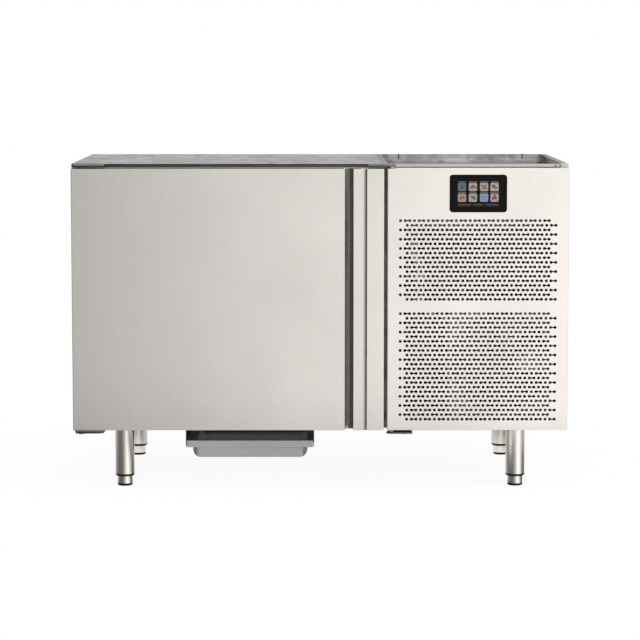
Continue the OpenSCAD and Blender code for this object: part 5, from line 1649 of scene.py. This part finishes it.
        draft.lathe([(inner, 0.0), (outer, 0.0), (outer, wide), (inner, wide), (inner, 0.0)],
                    (can_x, face + 0.026, can_z), (0, 1, 0), 40)
        draft.done("capacitor_bracket", Palette.dark_zinc, "cabinet", 40.0)


@dataclass
class ModuleParts:
    """What sits on the back of the display's board: chips, plugs, capacitors and the sounder."""

    back_y: float = -0.3225
    left: float = 0.3179
    right: float = 0.4710
    low: float = 0.6966
    high: float = 0.8006

    def legs(self, draft: MeshDraft, low: tuple[float, float], high: tuple[float, float],
             count: int) -> None:
        """Adds a row of small legs on both long sides of a chip.

        Args:
            draft: The mesh to add to.
            low: The chip's lower left corner (x, z).
            high: Its upper right corner.
            count: Legs on each side.
        """
        pitch = (high[0] - low[0]) / (count + 1)
        for i in range(count):
            x = low[0] + pitch * (i + 1)
            for foot, shoulder in ((low[1] - 0.0014, low[1]), (high[1], high[1] + 0.0014)):
                draft.slab((x - 0.00025, self.back_y - 0.0001, min(foot, shoulder)),
                           (x + 0.00025, self.back_y + 0.0008, max(foot, shoulder)))

    def build(self) -> None:
        """Builds the dark parts and the tinned ones as two pieces on the panel."""
        y = self.back_y
        chips = (((0.346, 0.742), (0.366, 0.762), 12), ((0.384, 0.748), (0.396, 0.757), 7),
                 ((0.410, 0.726), (0.425, 0.735), 8), ((0.334, 0.716), (0.346, 0.724), 6),
                 ((0.436, 0.756), (0.452, 0.766), 8))
        dark = MeshDraft()
        tinned = MeshDraft()
        for low, high, count in chips:
            dark.slab((low[0], y - 0.0001, low[1]), (high[0], y + 0.0018, high[1]))
            dark.lathe([(0.0, 0.0), (0.0007, 0.0), (0.0007, 0.0001), (0.0, 0.0001)],
                       (low[0] + 0.0018, y + 0.0018, high[1] - 0.0018), (0, 1, 0), 10)
            self.legs(tinned, low, high, count)
        for x, z, wide in ((0.326, 0.780, 0.026), (0.358, 0.780, 0.018), (0.430, 0.702, 0.030)):
            dark.slab((x, y - 0.0001, z), (x + wide, y + 0.0060, z + 0.0062))
            dark.slab((x + 0.002, y + 0.0060, z + 0.001), (x + wide - 0.002, y + 0.0066, z + 0.0052))
            for i in range(int(wide / 0.0025) - 1):
                tinned.slab((x + 0.0022 + 0.0025 * i, y - 0.0001, z + 0.0062),
                            (x + 0.0030 + 0.0025 * i, y + 0.0012, z + 0.0074))
        for x, z in ((0.392, 0.782), (0.404, 0.782), (0.416, 0.782), (0.448, 0.732)):
            dark.lathe([(0.0, 0.0), (0.0040, 0.0), (0.0040, 0.0016), (0.0036, 0.0022), (0.0, 0.0022)],
                       (x, y - 0.0001, z), (0, 1, 0), 20)
            tinned.lathe([(0.0, 0.0), (0.0035, 0.0), (0.0035, 0.0054), (0.0031, 0.0060), (0.0, 0.0060)],
                         (x, y + 0.0020, z), (0, 1, 0), 20)
        dark.lathe([(0.0, 0.0), (0.0075, 0.0), (0.0075, 0.0058), (0.0068, 0.0066), (0.0016, 0.0066),
                    (0.0014, 0.0050), (0.0, 0.0050)], (0.384, y - 0.0001, 0.716), (0, 1, 0), 28)
        for x in (self.left + 0.006, self.right - 0.006):
            for z in (self.low + 0.006, self.high - 0.006):
                tinned.lathe([(0.0, 0.0), (0.0030, 0.0), (0.0030, 0.0010), (0.0026, 0.0018),
                              (0.0012, 0.0019), (0.0011, 0.0010), (0.0, 0.0008)],
                             (x, y - 0.0001, z), (0, 1, 0), 18)
        dark.done("module_chips_and_plugs", Palette.chip, "service_panel", 40.0)
        tinned.done("module_tinned_parts", Palette.solder, "service_panel", 40.0)


@dataclass
class KeyPlugs:
    """Dark rubber plugs pressed into the T-shaped key notches of the back panel."""

    x: tuple[float, ...] = (0.219, 0.5599)
    back: tuple[float, float] = (0.3462, 0.3478)
    top: float = 0.8198
    bar: tuple[float, float] = (0.0041, 0.0029)
    stem: tuple[float, float] = (0.0014, 0.0128)

    def build(self) -> None:
        """Builds both plugs, each a T with eased corners, in the notches of the CAD panel."""
        draft = MeshDraft()
        for x in self.x:
            low = self.top - self.stem[1]
            shoulder = self.top - self.bar[1]
            draft.sheet_y([(x - self.stem[0], low + 0.0004), (x - self.stem[0] + 0.0004, low),
                           (x + self.stem[0] - 0.0004, low), (x + self.stem[0], low + 0.0004),
                           (x + self.stem[0], shoulder), (x + self.bar[0] - 0.0004, shoulder),
                           (x + self.bar[0], shoulder + 0.0004), (x + self.bar[0], self.top - 0.0004),
                           (x + self.bar[0] - 0.0004, self.top), (x - self.bar[0] + 0.0004, self.top),
                           (x - self.bar[0], self.top - 0.0004), (x - self.bar[0], shoulder + 0.0004),
                           (x - self.bar[0] + 0.0004, shoulder), (x - self.stem[0], shoulder)],
                          *self.back)
        draft.done("key_notch_plugs", Palette.rubber, "cabinet")


# ----------------------------------------------------------------------- studio


@dataclass
class GradedCard:
    """A curved grey card round the object, and a sheet under it, that only shiny surfaces see."""

    radius: float = 1.9
    high: float = 2.6
    inner: float = 0.04
    sheet_z: float = 0.0003
    reach: float = 128.0
    steps: int = 64
    leg: tuple[float, float] = (0.4975, -0.2635)
    before_front: tuple[float, float] = (-0.55, -0.40)
    past_leg: tuple[float, float] = (0.55, 0.75)
    low_reach: tuple[float, float] = (0.90, 1.20)
    floor_below: float = 0.01
    levels: tuple[tuple[float, float], ...] = (
        (-180.0, 0.62), (-118.0, 0.56), (-86.0, 0.44), (-73.0, 0.60), (-60.0, 1.10), (-34.0, 1.16),
        (-20.0, 1.14), (-8.0, 0.99), (2.0, 0.87), (12.0, 0.66), (24.0, 0.475), (38.0, 0.28),
        (50.0, 0.18), (76.0, 0.24), (104.0, 0.52), (180.0, 0.62))
    # Painted shade in reflections: near the legs the floor sheet turns to these tones, whose dark sectors
    # stand in for the shaded floor that the steel reflects.
    low_levels: tuple[tuple[float, float], ...] = (
        (-180.0, 0.90), (-150.0, 0.50), (-122.0, 0.14), (-100.0, 0.12), (-80.0, 0.34), (-62.0, 0.80),
        (-46.0, 1.20), (-28.0, 1.20), (-12.0, 0.76), (0.0, 0.44), (15.0, 0.22), (30.0, 0.13),
        (76.0, 0.12), (110.0, 0.30), (150.0, 0.70), (180.0, 0.90))

    def mesh(self) -> bpy.types.Mesh:
        """The upright arc and the flat ring, as one mesh."""
        verts: list[Point] = []
        faces: list[tuple[int, ...]] = []
        for i in range(self.steps + 1):
            turn = math.radians(-self.reach + 2 * self.reach * i / self.steps)
            side, ahead = -math.sin(turn) * self.radius, -math.cos(turn) * self.radius
            verts += [(side, ahead, 0.0), (side, ahead, self.high)]
            if i:
                faces.append((2 * i - 2, 2 * i, 2 * i + 1, 2 * i - 1))
        start = len(verts)
        for i in range(self.steps):
            turn = 2 * math.pi * i / self.steps
            side, ahead = -math.sin(turn), -math.cos(turn)
            verts += [(side * self.inner, ahead * self.inner, self.sheet_z),
                      (side * self.radius, ahead * self.radius, self.sheet_z)]
            after = (i + 1) % self.steps
            faces.append((start + 2 * i, start + 2 * i + 1, start + 2 * after + 1, start + 2 * after))
        mesh = bpy.data.meshes.new("graded_card")
        mesh.from_pydata(verts, [], faces)
        return mesh

    def ramp(self, sheet: NodeSheet, x: Wire, y: Wire,
             levels: Sequence[tuple[float, float]]) -> bpy.types.NodeSocket:
        """Tones by the angle from straight ahead, positive to the left, from -180 to 180.

        Args:
            sheet: The card's node sheet.
            x: How far to the right of the middle.
            y: How far behind it.
            levels: Angles in degrees with their levels.

        Returns:
            The colour's socket.
        """
        turn = sheet.maths("ARCTAN2", sheet.times(x, -1.0), sheet.times(y, -1.0))
        node = sheet.add("ShaderNodeValToRGB", {"Fac": sheet.spread(turn, -math.pi, math.pi, 0.0, 1.0)})
        stops = node.color_ramp.elements
        for end in (0, -1):
            stops[end].color = (*[levels[end][1]] * 3, 1.0)
        for angle, level in levels[1:-1]:
            stops.new((angle + 180.0) / 360.0).color = (level, level, level, 1.0)
        return node.outputs[0]

    def build(self) -> None:
        """Hangs the card and hides it from everything but reflections."""
        mesh = self.mesh()
        made = bpy.data.materials.new("graded_card_paper")
        made.use_nodes = True
        sheet = NodeSheet(made.node_tree)
        x, y, z = sheet.parts(sheet.place())
        side = sheet.times(sheet.maths("SIGN", x), self.leg[0])
        from_x = sheet.maths("SUBTRACT", x, side)
        from_y = sheet.maths("SUBTRACT", y, self.leg[1])
        away = sheet.maths("SQRT", sheet.maths("ADD", sheet.times(from_x, from_x),
                                               sheet.times(from_y, from_y)))
        ahead = sheet.maths("MAXIMUM", sheet.spread(y, *self.before_front, 1.0, 0.0),
                            sheet.spread(away, *self.past_leg, 1.0, 0.0))
        near = sheet.times(sheet.spread(away, *self.low_reach, 1.0, 0.0), ahead)
        near = sheet.times(near, sheet.maths("LESS_THAN", z, self.floor_below))
        tones = sheet.blend(near, self.ramp(sheet, x, y, self.levels),
                            self.ramp(sheet, from_x, from_y, self.low_levels))
        glow = sheet.add("ShaderNodeEmission", {"Color": tones, "Strength": 1.0})
        sheet.add("ShaderNodeOutputMaterial", {"Surface": glow.outputs[0]})
        made.cycles.emission_sampling = "NONE"
        mesh.materials.append(made)
        card = bpy.data.objects.new("graded_card", mesh)
        bpy.context.scene.collection.objects.link(card)
        card.visible_camera = card.visible_diffuse = card.visible_shadow = False
        card.visible_transmission = card.visible_volume_scatter = False


@dataclass
class SoftBox:
    """A rectangular lamp that reflections don't show."""

    name: str
    place: Point
    aim: Point
    wide: float
    high: float
    power: float
    colour: Colour = (1.0, 1.0, 1.0)

    def build(self) -> None:
        """Hangs the lamp and turns it to its aim."""
        data = bpy.data.lights.new(self.name, "AREA")
        data.shape = "RECTANGLE"
        data.size, data.size_y = self.wide, self.high
        data.energy = self.power
        data.color = self.colour
        lamp = bpy.data.objects.new(self.name, data)
        lamp.location = self.place
        lamp.visible_glossy = False
        lamp.rotation_euler = (Vector(self.aim) - Vector(self.place)).to_track_quat("-Z", "Y").to_euler()
        bpy.context.scene.collection.objects.link(lamp)


@dataclass
class Studio:
    """Camera, floor, world and lamps."""

    camera_place: Point = (-0.0207, -6.7265, 1.093)
    camera_turn: tuple[float, float, float] = (84.081, 0.0, -0.183)
    lens: float = 144.0
    sensor: float = 36.0
    fill: float = 0.75
    floor_half: float = 9.0
    floor_z: float = -0.0005
    glow_from: tuple[float, float] = (0.7, 0.945)
    glow_to: tuple[float, float] = (1.3, 1.0)
    boxes: list[SoftBox] = field(default_factory=lambda: [
        SoftBox("soft_box_right", (2.0, -2.0, 1.5), (0.35, -0.35, 0.5), 1.8, 2.0, 60.0),
        SoftBox("soft_box_top", (0.0, -0.6, 2.6), (0.0, 0.0, 0.6), 2.4, 2.0, 22.0),
    ])

    def seen(self, sheet: NodeSheet) -> bpy.types.NodeSocket:
        """1 for camera, glossy and transmission rays, which see the white background."""
        path = sheet.add("ShaderNodeLightPath").outputs
        both = sheet.maths("MAXIMUM", path["Is Camera Ray"], path["Is Glossy Ray"])
        return sheet.maths("MAXIMUM", both, path["Is Transmission Ray"])

    def world(self) -> None:
        """A white background, and a plain level of light for everything else."""
        world = bpy.data.worlds.new("studio_world")
        bpy.context.scene.world = world
        world.use_nodes = True
        sheet = NodeSheet(world.node_tree)
        strength = sheet.spread(self.seen(sheet), 0.0, 1.0, self.fill, 1.0)
        back = sheet.add("ShaderNodeBackground", {"Color": (1.0, 1.0, 1.0), "Strength": strength})
        sheet.add("ShaderNodeOutputWorld", {"Surface": back.outputs[0]})

    def floor(self) -> None:
        """A pale floor that goes white away from the object and keeps its shadow."""
        half, z = self.floor_half, self.floor_z
        mesh = bpy.data.meshes.new("studio_floor")
        mesh.from_pydata([(-half, -half, z), (half, -half, z), (half, half, z), (-half, half, z)],
                         [], [(0, 1, 2, 3)])
        floor = bpy.data.objects.new("studio_floor", mesh)
        bpy.context.scene.collection.objects.link(floor)
        made = bpy.data.materials.new("pale_floor")
        made.use_nodes = True
        sheet = NodeSheet(made.node_tree)
        mottle = sheet.noise(sheet.place(), 3.0, 3.0, 0.5)
        base = sheet.blend(mottle, (0.90, 0.90, 0.90), (0.93, 0.93, 0.93))
        matt = sheet.add("ShaderNodeBsdfDiffuse", {"Color": base})
        glow = sheet.add("ShaderNodeEmission", {"Color": (1.0, 1.0, 1.0), "Strength": 1.0})
        far = sheet.add("ShaderNodeVectorMath", {0: sheet.place()}, operation="LENGTH").outputs["Value"]
        glows = sheet.spread(far, self.glow_from[0], self.glow_to[0], self.glow_from[1], self.glow_to[1])
        share = sheet.times(self.seen(sheet), glows)
        both = sheet.add("ShaderNodeMixShader", {0: share, 1: matt.outputs[0], 2: glow.outputs[0]})
        sheet.add("ShaderNodeOutputMaterial", {"Surface": both.outputs[0]})
        mesh.materials.append(made)

    def camera(self) -> None:
        """The camera at the photograph's viewing angle."""
        data = bpy.data.cameras.new("photo_camera")
        data.sensor_fit = "HORIZONTAL"
        data.sensor_width = self.sensor
        data.lens = self.lens
        data.clip_end = 60.0
        camera = bpy.data.objects.new("photo_camera", data)
        camera.location = self.camera_place
        camera.rotation_euler = tuple(math.radians(a) for a in self.camera_turn)
        bpy.context.scene.collection.objects.link(camera)
        bpy.context.scene.camera = camera

    def build(self) -> None:
        """Sets the studio up."""
        bpy.context.scene.view_settings.view_transform = "Standard"
        self.camera()
        self.world()
        self.floor()
        GradedCard().build()
        for box in self.boxes:
            box.build()


# ------------------------------------------------------------------------- main


def corners(box: Iterable[Iterable[float]]) -> list[list[float]]:
    """A pair of corners as plain lists of numbers."""
    return [[float(number) for number in corner] for corner in box]


def coil_pack(node: str, rows: int, columns: int, tube_radius: float, pitch: float,
              cad_tube: float) -> FinPack:
    """A fin pack in the place of a CAD coil.

    Args:
        node: The CAD coil's name.
        rows: Rows of return bends.
        columns: Tubes behind each other.
        tube_radius: Radius of the tubes.
        pitch: Distance between the fins.
        cad_tube: Radius of the CAD coil's return bends.

    Returns:
        The pack, sized to the coil without its bends.
    """
    low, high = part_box(node)
    bend = (high.z - low.z) / rows / 4
    left = low.x + bend + cad_tube
    return FinPack(node, "cabinet", (left, low.y, low.z), (high.x, high.y, high.z), rows, columns,
                   tube_radius, pitch)


def main() -> None:
    """Loads the frame, dresses it, adds the pieces and sets the studio up."""
    logging.basicConfig(level=logging.INFO, format="%(name)s: %(message)s")
    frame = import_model()
    Studio().build()
    CadFinishes(frame["nodes"]).dress()
    TouchScreen().build()
    coil_pack("condenser_coil", rows=7, columns=2, tube_radius=0.0045, pitch=0.0026,
              cad_tube=0.0048).build()
    coil_pack("evaporator_coil", rows=10, columns=2, tube_radius=0.0058, pitch=0.0042,
              cad_tube=0.006).build()
    low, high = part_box("door_gasket")
    DoorSeal(low.y, high.y, (low.x + 0.018, low.z + 0.018), (high.x - 0.018, high.z - 0.018)).build()
    CasingScrews().build()
    RefrigerantLines().build()
    PanelWiring().build()
    ModuleParts().build()
    KeyPlugs().build()


if __name__ == "__main__":
    main()
